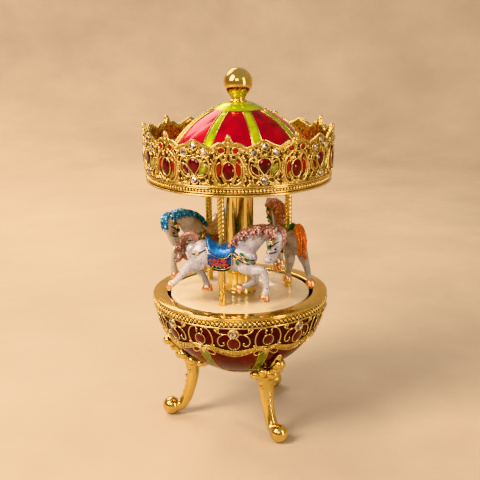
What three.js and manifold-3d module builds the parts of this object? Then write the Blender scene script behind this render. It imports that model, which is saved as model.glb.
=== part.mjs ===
// Wind-up carousel music box.
// The lower half of an enamelled egg stands on three cabriole legs and holds a small cylinder
// movement. The movement's going barrel carries the carousel: a turntable with a central column,
// three poles, three horses, a domed canopy with a jewelled crown band, and a ball finial.
// Millimetres, +Z up. The origin is on the floor, on the axis that the carousel turns about.
import * as THREE from "three";
import { mergeVertices } from "three/addons/utils/BufferGeometryUtils.js";
import Module from "manifold-3d";

const wasm = await Module();
wasm.setup();

// ---------------------------------------------------------------- driving dimensions
const EGG_AXIS_Z = 62; // height of the egg's widest section
const BOWL = { radius: 39.2, depth: 36.6, wall: 1.6, top: 62.4, power: 1.9 };
const RIM = { outer: 40.7, inner: 34, bottom: 62.5, top: 64 };
const BAND = { bottom: 46, top: 62.3, thickness: 0.9, clearance: 0.15 };

const FOOT = { circle: 34, radius: 4.2, centre: 3.8, azimuths: [180, -60, 60] };
const LEG_NAMES = ["left", "front_right", "back_right"];

const DISC = { radius: 32.4, bottom: 61.4, top: 63.4 };
const COLUMN = { outer: 6.4, inner: 5 };
const POLE = { circle: 23, radius: 1.6, stud: 0.8, azimuths: [-110.3, 9.7, 129.7] };
const POLE_NAMES = ["front", "right", "left"];
const HORSE_TURN = 6; // each horse is turned a little inwards from the tangent

const CEILING = { radius: 39.2, bottom: 117, top: 118.2 };
const CROWN_BASE = { inner: 39.5, outer: 42, bottom: 116.5, top: 121 };
const CROWN = { repeats: 9, phase: -95.7, lowRadius: 42.1, highRadius: 43.3, thickness: 1.8, bottom: 121 };
const DOME = { radius: 33.3, height: 28.9, axisZ: 121.8, wall: 1.2, bottom: 118.2, top: 151, power: 1.72 };
const FINIAL = { ballRadius: 6.45, ballCentre: 159.5, cupBottom: 151 };
const TIE_ROD = { radius: 1.5, bottom: 61.3, top: 158.5 };

// Movement: the crown wheel on the barrel drives the drum pinion and the governor pinion.
const MODULE_MM = 0.4;
const TEETH = { crown: 60, drum: 24, governor: 12, worm: 20 };
const PITCH_PLANE = 48.1; // height where the crown wheel's teeth meet the pinions
const BEDPLATE = { bottom: 38.5, top: 40, radius: 26.4 };
const BARREL = { outer: 10.4, wall: 0.8, bottom: 40.8, top: 46.2 };
const WHEEL = { bottom: 46.2, top: 47.6 };
const ARBOR = { radius: 2, bottom: 25.3, top: 45.6 };
const POST = { radius: 2.4, top: 61.2 };
const HUB = { radius: 9, bottom: 59.5 };
const BRIDGE = { bottom: 57, top: 58.4, halfWidth: 3.6, pillarAt: 16.5, pillarRadius: 2.2 };
const DRUM = { radius: 4.5, pin: 0.45, from: 14.4, to: 29.2, shaft: 0.9 };
const COMB = { teeth: 18, pitch: 0.8, gap: 0.2, root: -14.2, back: -18.4, thickness: 0.8 };
const GOVERNOR = { wheelAt: -18, shaft: 0.8, wormRadius: 1.6, fanBottom: 55.2, fanTop: 58.4, fanRadius: 3.8 };
const BOSS = { circle: 21.5, radius: 2.6, azimuths: [0, 120, 240], screw: 1.1, bottom: 31.5 };
const LEG_SCREW = { radius: 1.1, head: 2, at: 23 };
const WELL = { lip: 13.5, outer: 12.9, inner: 11.7, mouth: 26.9, lipTop: 27.7, ceiling: 32.4, top: 33.6 };
const KEY = { hubRadius: 3, hubTop: 31.6, wingReach: 9.4, wingBottom: 22.4, thickness: 1.8 };

const RUNNING_GAP = 0.1; // radial clearance of a shaft in its hole
const RING_SEGMENTS = 32;
const SMALL_SEGMENTS = 12;

// ---------------------------------------------------------------- materials
const material = (color, roughness, metalness) =>
  new THREE.MeshStandardMaterial({ color, roughness, metalness });
const gold = material(0xe0b040, 0.22, 1);
const brass = material(0xc9a455, 0.35, 1);
const steel = material(0xb8bcc2, 0.3, 1);
const zinc = material(0x9a9ca0, 0.5, 1);
const redEnamel = material(0x9c0f22, 0.15, 0.1);
const pearl = material(0xeadcc6, 0.25, 0);
const blackSteel = material(0x33353a, 0.45, 0.8);
const horseCoats = { front: 0xd9d2cc, right: 0xcfc3ae, left: 0xd8cdb6 };

// ---------------------------------------------------------------- solids
const radians = THREE.MathUtils.degToRad;

// A closed three.js geometry as a manifold solid with its faces pointing out.
function solid(geometry) {
  const bare = geometry.index ? geometry.toNonIndexed() : geometry.clone();
  bare.deleteAttribute("normal");
  bare.deleteAttribute("uv");
  const merged = mergeVertices(bare, 1e-4);
  const index = merged.index.array;
  const whole = [];
  for (let i = 0; i < index.length; i += 3) {
    const [a, b, c] = [index[i], index[i + 1], index[i + 2]];
    if (a !== b && b !== c && a !== c) whole.push(a, b, c);
  }
  const vertProperties = merged.attributes.position.array;
  const build = (triVerts) => new wasm.Manifold(new wasm.Mesh({ numProp: 3, vertProperties, triVerts }));
  const made = build(new Uint32Array(whole));
  if (made.volume() > 0) return made;
  for (let i = 0; i < whole.length; i += 3) [whole[i + 1], whole[i + 2]] = [whole[i + 2], whole[i + 1]];
  return build(new Uint32Array(whole));
}

function geometryOf(made) {
  const mesh = made.getMesh();
  return new THREE.BufferGeometry()
    .setAttribute("position", new THREE.BufferAttribute(mesh.vertProperties, 3))
    .setIndex(new THREE.BufferAttribute(mesh.triVerts, 1))
    .toNonIndexed();
}

const join = (...solids) => solids.reduce((whole, next) => whole.add(next));
const cut = (whole, ...tools) => tools.reduce((left, tool) => left.subtract(tool), whole);

// A profile of [radius, z] points turned about the Z axis. It starts and ends on the axis or closes on itself.
function turned(profile, segments = RING_SEGMENTS) {
  const points = profile.map(([r, z]) => new THREE.Vector2(r, z));
  return solid(new THREE.LatheGeometry(points, segments).rotateX(Math.PI / 2));
}

function disc(radius, bottom, top, segments = SMALL_SEGMENTS) {
  return turned([[0, bottom], [radius, bottom], [radius, top], [0, top]], segments);
}

function ring(inner, outer, bottom, top, segments = RING_SEGMENTS) {
  return turned([[inner, bottom], [outer, bottom], [outer, top], [inner, top], [inner, bottom]], segments);
}

function box(low, high) {
  const size = high.map((h, i) => h - low[i]);
  const centre = high.map((h, i) => (h + low[i]) / 2);
  return solid(new THREE.BoxGeometry(...size).translate(...centre));
}

function ball(radius, centre, segments = 12) {
  return solid(new THREE.SphereGeometry(radius, segments, Math.round(segments * 0.7)).translate(...centre));
}

// A cylinder along the X axis.
function rod(radius, fromX, toX, y, z, segments = SMALL_SEGMENTS) {
  return disc(radius, fromX, toX, segments).rotate([0, 90, 0]).translate([0, y, z]);
}

// A closed skin over a row of rings that have the same number of points.
function loft(rings) {
  const sides = rings[0].length;
  const corners = rings.flat();
  const faces = [];
  for (let k = 0; k + 1 < rings.length; k++) {
    for (let i = 0; i < sides; i++) {
      const [a, b] = [k * sides + i, k * sides + ((i + 1) % sides)];
      faces.push(a, b, b + sides, a, b + sides, a + sides);
    }
  }
  const last = (rings.length - 1) * sides;
  for (let i = 1; i + 1 < sides; i++) faces.push(0, i + 1, i, last, last + i, last + i + 1);
  const geometry = new THREE.BufferGeometry();
  geometry.setAttribute("position", new THREE.Float32BufferAttribute(corners.flat(), 3));
  geometry.setIndex(faces);
  return solid(geometry);
}

// A limb in the XZ plane at y: stations are [x, z, half width, half depth].
function limb(stations, y = 0, sides = 6, spread = 0) {
  const rings = stations.map(([x, z, width, depth], k) => {
    const before = stations[Math.max(k - 1, 0)];
    const after = stations[Math.min(k + 1, stations.length - 1)];
    const along = new THREE.Vector2(after[0] - before[0], after[1] - before[1]).normalize();
    const centreY = y + (spread * k) / (stations.length - 1);
    return Array.from({ length: sides }, (_, i) => {
      const turn = (2 * Math.PI * i) / sides;
      const [w, d] = [width * Math.cos(turn), depth * Math.sin(turn)];
      return [x - along.y * d, centreY + w, z + along.x * d];
    });
  });
  return loft(rings);
}

// A spur gear's blank from z = 0 to its width, its first tooth pointing along +X.
function spurGear(teeth, width, boreRadius) {
  const pitchRadius = (MODULE_MM * teeth) / 2;
  const [tip, root] = [pitchRadius + 0.34, pitchRadius - 0.46];
  const pitchAngle = (2 * Math.PI) / teeth;
  const [tipHalf, rootHalf] = [0.11 * pitchAngle, 0.22 * pitchAngle];
  const shape = new THREE.Shape();
  for (let k = 0; k < teeth; k++) {
    const middle = k * pitchAngle;
    const corners = [[root, -rootHalf], [tip, -tipHalf], [tip, tipHalf], [root, rootHalf]];
    for (const [radius, offset] of corners) {
      const [x, y] = [radius * Math.cos(middle + offset), radius * Math.sin(middle + offset)];
      if (k === 0 && offset === -rootHalf) shape.moveTo(x, y);
      else shape.lineTo(x, y);
    }
  }
  shape.closePath();
  const blank = solid(new THREE.ExtrudeGeometry(shape, { depth: width, bevelEnabled: false }));
  return cut(blank, disc(boreRadius, -1, width + 1, 8));
}

const group = new THREE.Group();
const nodes = {};

function add(name, made, look, parent = group) {
  const mesh = new THREE.Mesh(geometryOf(made), look);
  mesh.name = name;
  parent.add(mesh);
  nodes[name] = mesh;
  return mesh;
}

// A group turned about the Z axis, for pieces that repeat around it.
function turnedGroup(azimuth) {
  const holder = new THREE.Group();
  holder.rotation.z = radians(azimuth);
  group.add(holder);
  return holder;
}

// ---------------------------------------------------------------- egg shell
// Radius of the bowl's outside, grown outwards by offset, at height z.
function bowlRadius(z, offset = 0) {
  const share = Math.max(0, EGG_AXIS_Z - z) / (BOWL.depth + offset);
  return (BOWL.radius + offset) * Math.max(0, 1 - share ** BOWL.power) ** (1 / BOWL.power);
}

// The bowl's section from its lowest point up to its widest, as [radius, z] points.
function bowlCurve(offset, steps) {
  return Array.from({ length: steps + 1 }, (_, i) => {
    const z = EGG_AXIS_Z - (BOWL.depth + offset) * Math.cos((Math.PI / 2) * (i / steps));
    return [bowlRadius(z, offset), z];
  });
}

function bowlBody(offset) {
  const curve = bowlCurve(offset, 7);
  curve[0][0] = 0;
  return turned([...curve, [BOWL.radius + offset, BOWL.top], [0, BOWL.top]]);
}


function bowlShell() {
  const inside = bowlBody(-BOWL.wall).add(disc(BOWL.radius - BOWL.wall, EGG_AXIS_Z, BOWL.top + 1, RING_SEGMENTS));
  const shell = cut(bowlBody(0), inside);
  const bosses = BOSS.azimuths.map((azimuth) =>
    disc(BOSS.radius, BOSS.bottom, BEDPLATE.bottom, 10).translate(polar(BOSS.circle, azimuth, 0)));
  const pilotHoles = BOSS.azimuths.map((azimuth) =>
    disc(BOSS.screw, BEDPLATE.bottom - 3.4, BEDPLATE.bottom + 1, 8).translate(polar(BOSS.circle, azimuth, 0)));
  const insideOnly = bosses.map((boss) => boss.intersect(bowlBody(-0.4)));
  return cut(join(shell, ...insideOnly), ...pilotHoles, disc(WELL.outer + 0.05, 20, 32, RING_SEGMENTS), ...legScrewHoles());
}

function polar(radius, azimuth, z) {
  return [radius * Math.cos(radians(azimuth)), radius * Math.sin(radians(azimuth)), z];
}

function bowlBand() {
  const levels = [BAND.bottom, 50, 55, BAND.top];
  const at = (offset) => levels.map((z) => [bowlRadius(z, offset), z]);
  const outside = at(BAND.clearance + BAND.thickness);
  const inside = at(BAND.clearance).reverse();
  return turned([...outside, ...inside, outside[0]]);
}

add("bowl_shell", bowlShell(), redEnamel);
add("bowl_filigree_band", bowlBand(), gold);
add("rim_ring", turned([
  [RIM.inner, RIM.bottom], [RIM.outer - 0.4, RIM.bottom], [RIM.outer, RIM.bottom + 0.5],
  [RIM.outer, RIM.top - 0.4], [RIM.outer - 0.4, RIM.top], [RIM.inner, RIM.top], [RIM.inner, RIM.bottom],
]), gold);

// ---------------------------------------------------------------- legs
// The screw goes out through the bowl's wall, square to it, at radius LEG_SCREW.at.
function wallFrame() {
  let z = EGG_AXIS_Z - BOWL.depth;
  while (bowlRadius(z) < LEG_SCREW.at) z += 0.01;
  const slope = Math.atan2(bowlRadius(z + 0.1) - bowlRadius(z - 0.1), 0.2);
  return { x: LEG_SCREW.at, z, tilt: 90 + THREE.MathUtils.radToDeg(slope) };
}

function alongWallNormal(made) {
  const { x, z, tilt } = wallFrame();
  return made.rotate([0, tilt, 0]).translate([x, 0, z]);
}

function legScrewHoles() {
  const hole = alongWallNormal(disc(LEG_SCREW.radius + 0.2, -4, 4, 8));
  return FOOT.azimuths.map((azimuth) => hole.rotate([0, 0, azimuth]));
}

function leg() {
  const shank = limb([
    [FOOT.circle - 2, 4.6, 1.9, 1.9], [FOOT.circle - 5, 5.2, 2.2, 2.2], [26.6, 8.2, 2.4, 2.3],
    [24.8, 13.5, 2.7, 2.4], [23.6, 19, 3.1, 2.6], [23.6, 24.5, 3.6, 2.9], [25, 30, 3.4, 3],
  ]);
  const bracket = limb([
    [35.4, 41.5, 1.3, 1.4], [33.2, 37.6, 1.8, 2.2], [29.6, 33.4, 2.4, 3],
    [25.4, 30, 3, 3.2], [21, 27.4, 2.4, 2.8], [17.6, 25.6, 1.6, 2],
  ]);
  const scrolls = [
    ball(1.9, [34.9, 0, 39.2], 7), ball(2.2, [28.9, 0, 31.6], 7), ball(2, [19, 0, 25.4], 7),
    ball(1.7, [24, 4.4, 27], 6), ball(1.7, [24, -4.4, 27], 6),
  ];
  const foot = cut(ball(FOOT.radius, [FOOT.circle, 0, FOOT.centre], 12), box([0, -20, -9], [60, 20, 0]));
  const whole = join(shank, bracket, foot, ...scrolls);
  const socket = alongWallNormal(disc(LEG_SCREW.radius + 0.05, -5, 3.2, 8));
  return cut(whole, bowlBody(0.3), socket);
}

function legScrew() {
  const shank = disc(LEG_SCREW.radius, -3.2, 2.9, 8);
  const head = disc(LEG_SCREW.head, -3.2, -2, 10);
  return alongWallNormal(join(shank, head));
}

LEG_NAMES.forEach((name, i) => {
  const holder = turnedGroup(FOOT.azimuths[i]);
  add(`leg_${name}`, leg(), gold, holder);
  add(`leg_screw_${name}`, legScrew(), steel, holder);
});

// ---------------------------------------------------------------- turntable and column
function turntable() {
  const studHoles = POLE.azimuths.map((azimuth) =>
    disc(POLE.stud + RUNNING_GAP, DISC.bottom - 1, DISC.top + 1, 10).translate(polar(POLE.circle, azimuth, 0)));
  return cut(disc(DISC.radius, DISC.bottom, DISC.top, RING_SEGMENTS),
    disc(TIE_ROD.radius + RUNNING_GAP, 50, 70), ...studHoles);
}

add("turntable_disc", turntable(), pearl);
add("turntable_hub", ring(POST.radius + 0.05, HUB.radius, HUB.bottom, DISC.bottom, 16), brass);
add("tie_rod", disc(TIE_ROD.radius, TIE_ROD.bottom, TIE_ROD.top, 8), steel);
add("central_column", turned([
  [COLUMN.inner, DISC.top], [COLUMN.outer + 0.9, DISC.top], [COLUMN.outer + 0.9, DISC.top + 1],
  [COLUMN.outer, DISC.top + 1.8], [COLUMN.outer, CEILING.bottom], [COLUMN.inner, CEILING.bottom],
  [COLUMN.inner, DISC.top],
], 20), gold);

POLE_NAMES.forEach((name, i) => {
  const at = polar(POLE.circle, POLE.azimuths[i], 0);
  const barePole = join(
    disc(POLE.radius, DISC.top, CEILING.bottom, 10),
    disc(POLE.stud, DISC.bottom - 1.5, CEILING.top + 0.8, 8),
  );
  add(`pole_${name}`, barePole.translate(at), gold);
  add(`pole_nut_${name}`, ring(POLE.stud + RUNNING_GAP, 2, DISC.bottom - 1.4, DISC.bottom, 8).translate(at), brass);
});

// ---------------------------------------------------------------- horses
// One casting in its own frame: +X is forward and the pole's axis is x = y = 0.
function horse() {
  const body = limb([
    [-15.6, 88.6, 1.8, 2], [-13.2, 88, 4, 5], [-9, 87, 5.3, 6.4], [-3, 86, 5.3, 6],
    [3, 85.4, 5.1, 5.8], [9, 85.8, 5.2, 6.8], [13, 86.2, 4.2, 5.6], [15.4, 86.4, 2, 2.8],
  ], 0, 8);
  const neck = limb([[7.5, 88, 3.6, 5], [12, 92, 3, 4.8], [17, 96, 2.5, 4], [22, 98, 2.2, 3.2], [25.5, 97.4, 2, 2.6]]);
  const head = limb([[24.5, 99.4, 1.9, 2.2], [26.4, 96.4, 2.3, 2.9], [24.6, 91.6, 2, 2.3], [21.8, 86.8, 1.6, 1.9], [20.6, 85.2, 1.2, 1.3]]);
  const mane = limb([[6, 93, 1.6, 1.4], [11, 97, 1.8, 1.8], [17, 100, 1.8, 1.9], [22.6, 101, 1.6, 1.7], [27.4, 99, 1.4, 1.5], [29, 95.6, 1, 1]]);
  const tail = limb([[-10.4, 89.6, 1.6, 1.6], [-13.4, 93, 1.6, 1.6], [-17, 94, 2, 1.8], [-20.4, 90.4, 2.3, 2], [-20.6, 84.6, 2.2, 1.9], [-18.4, 80.4, 1.8, 1.6], [-21, 77.6, 1.1, 1.1]]);
  const nearFore = limb([[12, 82.4, 2.4, 3], [17.6, 82, 1.9, 2.1], [20.2, 78.6, 1.4, 1.6], [20.6, 73.4, 1.2, 1.2], [19.8, 70.8, 1.7, 1.8], [20, 68.5, 1.9, 2.1]], -3);
  const farFore = limb([[11, 81.4, 2.4, 2.8], [14.6, 77, 1.8, 1.8], [12.6, 73.8, 1.3, 1.3], [9.4, 71.8, 1.2, 1.2], [6.6, 70.6, 1.7, 1.4]], 3);
  const nearHind = limb([[-10.4, 84, 2.6, 4], [-15.4, 80.4, 1.9, 2.1], [-18.8, 77.2, 1.3, 1.4], [-21.4, 73.8, 1.2, 1.2], [-24.4, 71.6, 1.6, 1.4]], -3.2);
  const farHind = limb([[-10, 83.4, 2.6, 3.8], [-11.6, 78.6, 1.9, 2], [-9.2, 74.8, 1.3, 1.3], [-8, 71.6, 1.5, 1.5], [-7.4, 69.4, 1.8, 1.7]], 3.2);
  const saddle = limb([[-6.4, 93.6, 4.4, 1], [-3.6, 91.4, 5.4, 1.6], [1, 90.4, 5.6, 1.8], [5, 91, 5.2, 1.8], [7.6, 91.2, 3.6, 1]], 0, 8);
  const whole = join(body, neck, head, mane, tail, nearFore, farFore, nearHind, farHind, saddle);
  return cut(whole, disc(POLE.radius + 0.12, 60, 110, 10));
}

POLE_NAMES.forEach((name, i) => {
  const holder = new THREE.Group();
  holder.position.set(...polar(POLE.circle, POLE.azimuths[i], 0));
  holder.rotation.z = radians(POLE.azimuths[i] + 90 + HORSE_TURN);
  group.add(holder);
  add(`horse_${name}`, horse(), material(horseCoats[name], 0.5, 0.1), holder);
});

// ---------------------------------------------------------------- canopy
function ceilingPlate() {
  const studHoles = POLE.azimuths.map((azimuth) =>
    disc(POLE.stud + RUNNING_GAP, CEILING.bottom - 1, CEILING.top + 1, 10).translate(polar(POLE.circle, azimuth, 0)));
  return cut(disc(CEILING.radius, CEILING.bottom, CEILING.top, RING_SEGMENTS),
    disc(TIE_ROD.radius + RUNNING_GAP, 110, 125), ...studHoles);
}

// Radius of the dome's outside, grown outwards by offset, at height z.
function domeRadius(z, offset = 0) {
  const share = Math.max(0, z - DOME.axisZ) / (DOME.height + offset);
  return (DOME.radius + offset) * Math.max(0, 1 - share ** DOME.power) ** (1 / DOME.power);
}

function dome() {
  const levels = [DOME.bottom, 128, 134, 139, 143, 146.4];
  const outside = levels.map((z) => [domeRadius(z), z]);
  const cap = [[9.8, 149], [7.4, 150], [5.7, DOME.top]];
  const inside = levels.slice(0, 5).map((z) => [domeRadius(z, -DOME.wall), z]);
  const bore = TIE_ROD.radius + RUNNING_GAP;
  const underCap = [[12.6, 146], [7.5, 148.3], [bore, 148.9]];
  return turned([...outside, ...cap, [bore, DOME.top], ...underCap.reverse(), ...inside.reverse(), outside[0]]);
}

// Height of the crown band's pierced top edge: a pinnacle with shoulders, then a gable, in each repeat.
function crownTop(azimuth) {
  const span = 360 / CROWN.repeats;
  const turn = THREE.MathUtils.euclideanModulo(azimuth - CROWN.phase + span / 2, span) - span / 2;
  const fromPinnacle = Math.abs(turn);
  const fromGable = span / 2 - fromPinnacle;
  const shoulder = Math.max(0, 1.9 * (1 - fromPinnacle / 7));
  const pinnacle = fromPinnacle < 1.8 ? 3.6 : 0;
  const gable = Math.max(0, 3.6 * (1 - fromGable / 8.5));
  return 136.8 + shoulder + pinnacle + gable;
}

function crownBand() {
  const segments = 72;
  const section = (azimuth) => {
    const top = crownTop(azimuth);
    const outerAt = (z) => CROWN.lowRadius + ((CROWN.highRadius - CROWN.lowRadius) * (z - CROWN.bottom)) / 21;
    const corner = (inset, z) => polar(outerAt(z) - inset, azimuth, z);
    return [corner(0, CROWN.bottom), corner(0, top), corner(CROWN.thickness, top), corner(CROWN.thickness, CROWN.bottom)];
  };
  const rings = Array.from({ length: segments }, (_, i) => section((360 * i) / segments));
  const corners = rings.flat(2);
  const faces = [];
  rings.forEach((_, k) => {
    const [here, next] = [k * 4, ((k + 1) % segments) * 4];
    for (let i = 0; i < 4; i++) {
      const j = (i + 1) % 4;
      faces.push(here + i, here + j, next + j, here + i, next + j, next + i);
    }
  });
  const geometry = new THREE.BufferGeometry();
  geometry.setAttribute("position", new THREE.Float32BufferAttribute(corners, 3));
  geometry.setIndex(faces);
  return solid(geometry);
}

add("canopy_ceiling", ceilingPlate(), gold);
add("canopy_dome", dome(), redEnamel);
add("crown_base_ring", turned([
  [CROWN_BASE.inner, CROWN_BASE.bottom], [CROWN_BASE.outer - 0.8, CROWN_BASE.bottom],
  [CROWN_BASE.outer, CROWN_BASE.bottom + 1.2], [CROWN_BASE.outer, CROWN_BASE.top - 1],
  [CROWN_BASE.outer - 0.4, CROWN_BASE.top], [CROWN_BASE.inner, CROWN_BASE.top], [CROWN_BASE.inner, CROWN_BASE.bottom],
]), gold);
add("crown_filigree_band", crownBand(), gold);

// ---------------------------------------------------------------- finial
const bore = TIE_ROD.radius + RUNNING_GAP;
add("finial_cup", turned([
  [bore, FINIAL.cupBottom], [3.7, FINIAL.cupBottom], [3.6, 151.9], [3.1, 152.5], [3.3, 153.2], [4.2, 155],
  [4.6, 156.2], [4.3, 156.6], [bore, 154.6], [bore, FINIAL.cupBottom],
], 20), gold);

function finialBall() {
  const sphere = ball(FINIAL.ballRadius, [0, 0, FINIAL.ballCentre], 14);
  const seat = turned([[0, 150], [5, 150], [5, 156.9], [4.3, 156.9], [1.6, 154.9], [0, 154.9]], 20);
  return cut(sphere.subtract(seat), disc(bore, 150, TIE_ROD.top + 0.3, 12));
}

add("finial_ball", finialBall(), gold);

// ---------------------------------------------------------------- movement frame
const arborHole = ARBOR.radius + RUNNING_GAP;

function bedplate() {
  const plate = disc(BEDPLATE.radius, BEDPLATE.bottom, BEDPLATE.top, 32);
  const screwHoles = BOSS.azimuths.map((azimuth) =>
    disc(BOSS.screw + 0.1, 30, 45, 8).translate(polar(BOSS.circle, azimuth, 0)));
  const fanPivot = disc(0.7, 39, 45, 8).translate([GOVERNOR.wheelAt, wormOffset, 0]);
  return cut(plate, disc(arborHole, 30, 45), fanPivot, ...screwHoles);
}

// Distance from the worm wheel's axis to the worm's axis.
const wormOffset = (MODULE_MM * TEETH.worm) / 2 + GOVERNOR.wormRadius;

add("movement_bedplate", bedplate(), zinc);
BOSS.azimuths.forEach((azimuth, i) => {
  const screw = join(
    disc(BOSS.screw - 0.05, BEDPLATE.bottom - 3, BEDPLATE.top + 0.2, 8),
    disc(1.9, BEDPLATE.top + 0.05, BEDPLATE.top + 1.1, 10),
  );
  add(`bedplate_screw_${i + 1}`, screw.translate(polar(BOSS.circle, azimuth, 0)), steel);
});

function bridge() {
  const end = BRIDGE.pillarAt + BRIDGE.pillarRadius;
  const bar = box([-BRIDGE.halfWidth, -end, BRIDGE.bottom], [BRIDGE.halfWidth, end, BRIDGE.top]);
  return cut(bar, disc(POST.radius + RUNNING_GAP, 50, 60));
}

add("movement_bridge", bridge(), zinc);
[["front", -1], ["back", 1]].forEach(([name, side]) => {
  const pillar = disc(BRIDGE.pillarRadius, BEDPLATE.top, BRIDGE.bottom, 12);
  add(`bridge_pillar_${name}`, pillar.translate([0, side * BRIDGE.pillarAt, 0]), brass);
});

// The cup in the bowl's floor that the key sits in.
add("key_well", turned([
  [arborHole, WELL.ceiling], [WELL.inner, WELL.ceiling], [WELL.inner, WELL.mouth], [WELL.lip, WELL.mouth],
  [WELL.lip, WELL.lipTop], [WELL.outer, WELL.lipTop], [WELL.outer, WELL.top], [arborHole, WELL.top],
  [arborHole, WELL.ceiling],
], RING_SEGMENTS), brass);

// ---------------------------------------------------------------- spring barrel and output post
add("spring_barrel", turned([
  [arborHole, BARREL.bottom], [BARREL.outer, BARREL.bottom], [BARREL.outer, BARREL.top],
  [BARREL.outer - BARREL.wall, BARREL.top], [BARREL.outer - BARREL.wall, BARREL.bottom + BARREL.wall],
  [arborHole, BARREL.bottom + BARREL.wall], [arborHole, BARREL.bottom],
], 32), brass);

// Flat teeth standing on the wheel's upper face, with a gap, not a tooth, on the +X axis.
function crownWheel() {
  const pitchRadius = (MODULE_MM * TEETH.crown) / 2;
  const [inner, outer] = [pitchRadius - 1, pitchRadius + 1];
  const pitchAngle = 360 / TEETH.crown;
  const [rootHalf, tipHalf] = [0.26, 0.14];
  const [root, tip] = [WHEEL.top - 0.2, PITCH_PLANE + 0.34];
  const corners = (r) => [[r, -rootHalf, root], [r, rootHalf, root], [r, tipHalf, tip], [r, -tipHalf, tip]];
  const tooth = loft([corners(inner), corners(outer)]);
  const teeth = Array.from({ length: TEETH.crown }, (_, k) => tooth.rotate([0, 0, (k + 0.5) * pitchAngle]));
  return join(disc(outer + 0.2, WHEEL.bottom, WHEEL.top, 30), ...teeth);
}

add("crown_wheel", crownWheel(), brass);
add("output_post", disc(POST.radius, WHEEL.top, POST.top, 16), steel);

// A flat spring wound in open turns inside the barrel.
function mainspring() {
  const [inner, outer, turns, steps] = [2.4, 9.3, 4, 48];
  const [low, high] = [BARREL.bottom + 1.2, BARREL.top - 0.5];
  const halfThickness = 0.2;
  const rings = Array.from({ length: steps + 1 }, (_, i) => {
    const angle = (2 * Math.PI * turns * i) / steps;
    const radius = inner + ((outer - inner) * i) / steps;
    const point = (r, z) => [r * Math.cos(angle), r * Math.sin(angle), z];
    return [
      point(radius - halfThickness, low), point(radius + halfThickness, low),
      point(radius + halfThickness, high), point(radius - halfThickness, high),
    ];
  });
  return loft(rings);
}

add("mainspring", mainspring(), blackSteel);

// ---------------------------------------------------------------- winding arbor and key
add("winding_arbor", disc(ARBOR.radius, ARBOR.bottom, ARBOR.top, 12), steel);

function windingKey() {
  const wing = new THREE.Shape();
  wing.moveTo(0, 25.4);
  wing.bezierCurveTo(3, 22.6, 6, 21.9, 7.8, KEY.wingBottom);
  wing.bezierCurveTo(KEY.wingReach + 1.6, 23.4, KEY.wingReach + 1.6, 30.2, 7.8, 31);
  wing.bezierCurveTo(6, 31.5, 3, 30.8, 0, 28.8);
  wing.closePath();
  const eye = new THREE.Path();
  eye.absarc(6.7, 26.7, 2, 0, 2 * Math.PI);
  wing.holes.push(eye);
  const plate = new THREE.ExtrudeGeometry(wing, { depth: KEY.thickness, bevelEnabled: false, curveSegments: 6 })
    .translate(0, 0, -KEY.thickness / 2)
    .rotateX(Math.PI / 2);
  const right = solid(plate);
  const left = right.rotate([0, 0, 180]);
  return cut(join(right, left, disc(KEY.hubRadius, 24.2, KEY.hubTop, 12)), disc(ARBOR.radius + 0.05, 25.2, 40, 12));
}

add("winding_key", windingKey(), gold);

// The coil that lets the arbor turn one way only.
function clutchSpring() {
  const [coilRadius, wire, turns, perTurn] = [2.6, 0.4, 3, 8];
  const rings = Array.from({ length: turns * perTurn + 1 }, (_, i) => {
    const angle = (2 * Math.PI * i) / perTurn;
    const z = 34.3 + (1.2 * i) / perTurn;
    return Array.from({ length: 4 }, (_, j) => {
      const turn = (2 * Math.PI * j) / 4;
      const radius = coilRadius + wire * Math.cos(turn);
      return [radius * Math.cos(angle), radius * Math.sin(angle), z + wire * Math.sin(turn)];
    });
  });
  return loft(rings);
}

add("clutch_spring", clutchSpring(), steel);

// ---------------------------------------------------------------- drum and comb
const drumZ = PITCH_PLANE + (MODULE_MM * TEETH.drum) / 2;
const crownPitchRadius = (MODULE_MM * TEETH.crown) / 2;

function gearOnX(teeth, width, fromX, boreRadius, z) {
  return spurGear(teeth, width, boreRadius).rotate([0, 90, 0]).translate([fromX, 0, z]);
}

add("drum_gear", gearOnX(TEETH.drum, 1.6, crownPitchRadius - 0.8, DRUM.shaft, drumZ), brass);
add("drum_shaft", rod(DRUM.shaft - 0.08, crownPitchRadius - 2.6, DRUM.to + 1.6, 0, drumZ, 10), steel);

// Tune pins stand on the drum in rows, one row to each comb tooth.
function drum() {
  const shell = rod(DRUM.radius, DRUM.from, DRUM.to, 0, drumZ, 24);
  const firstRow = (DRUM.from + DRUM.to) / 2 - ((COMB.teeth - 1) * COMB.pitch) / 2;
  const pinsPerRow = 2;
  const pins = [];
  for (let row = 0; row < COMB.teeth; row++) {
    for (let k = 0; k < pinsPerRow; k++) {
      const turn = (row * 137.5 + k * 171) % 360;
      const pin = box([-0.14, -0.14, DRUM.radius - 0.3], [0.14, 0.14, DRUM.radius + DRUM.pin]);
      pins.push(pin.rotate([turn, 0, 0]).translate([firstRow + row * COMB.pitch, 0, drumZ]));
    }
  }
  return cut(join(shell, ...pins), rod(DRUM.shaft, DRUM.from - 1, DRUM.to + 1, 0, drumZ, 10));
}

add("pinned_drum", drum(), brass);

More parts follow.
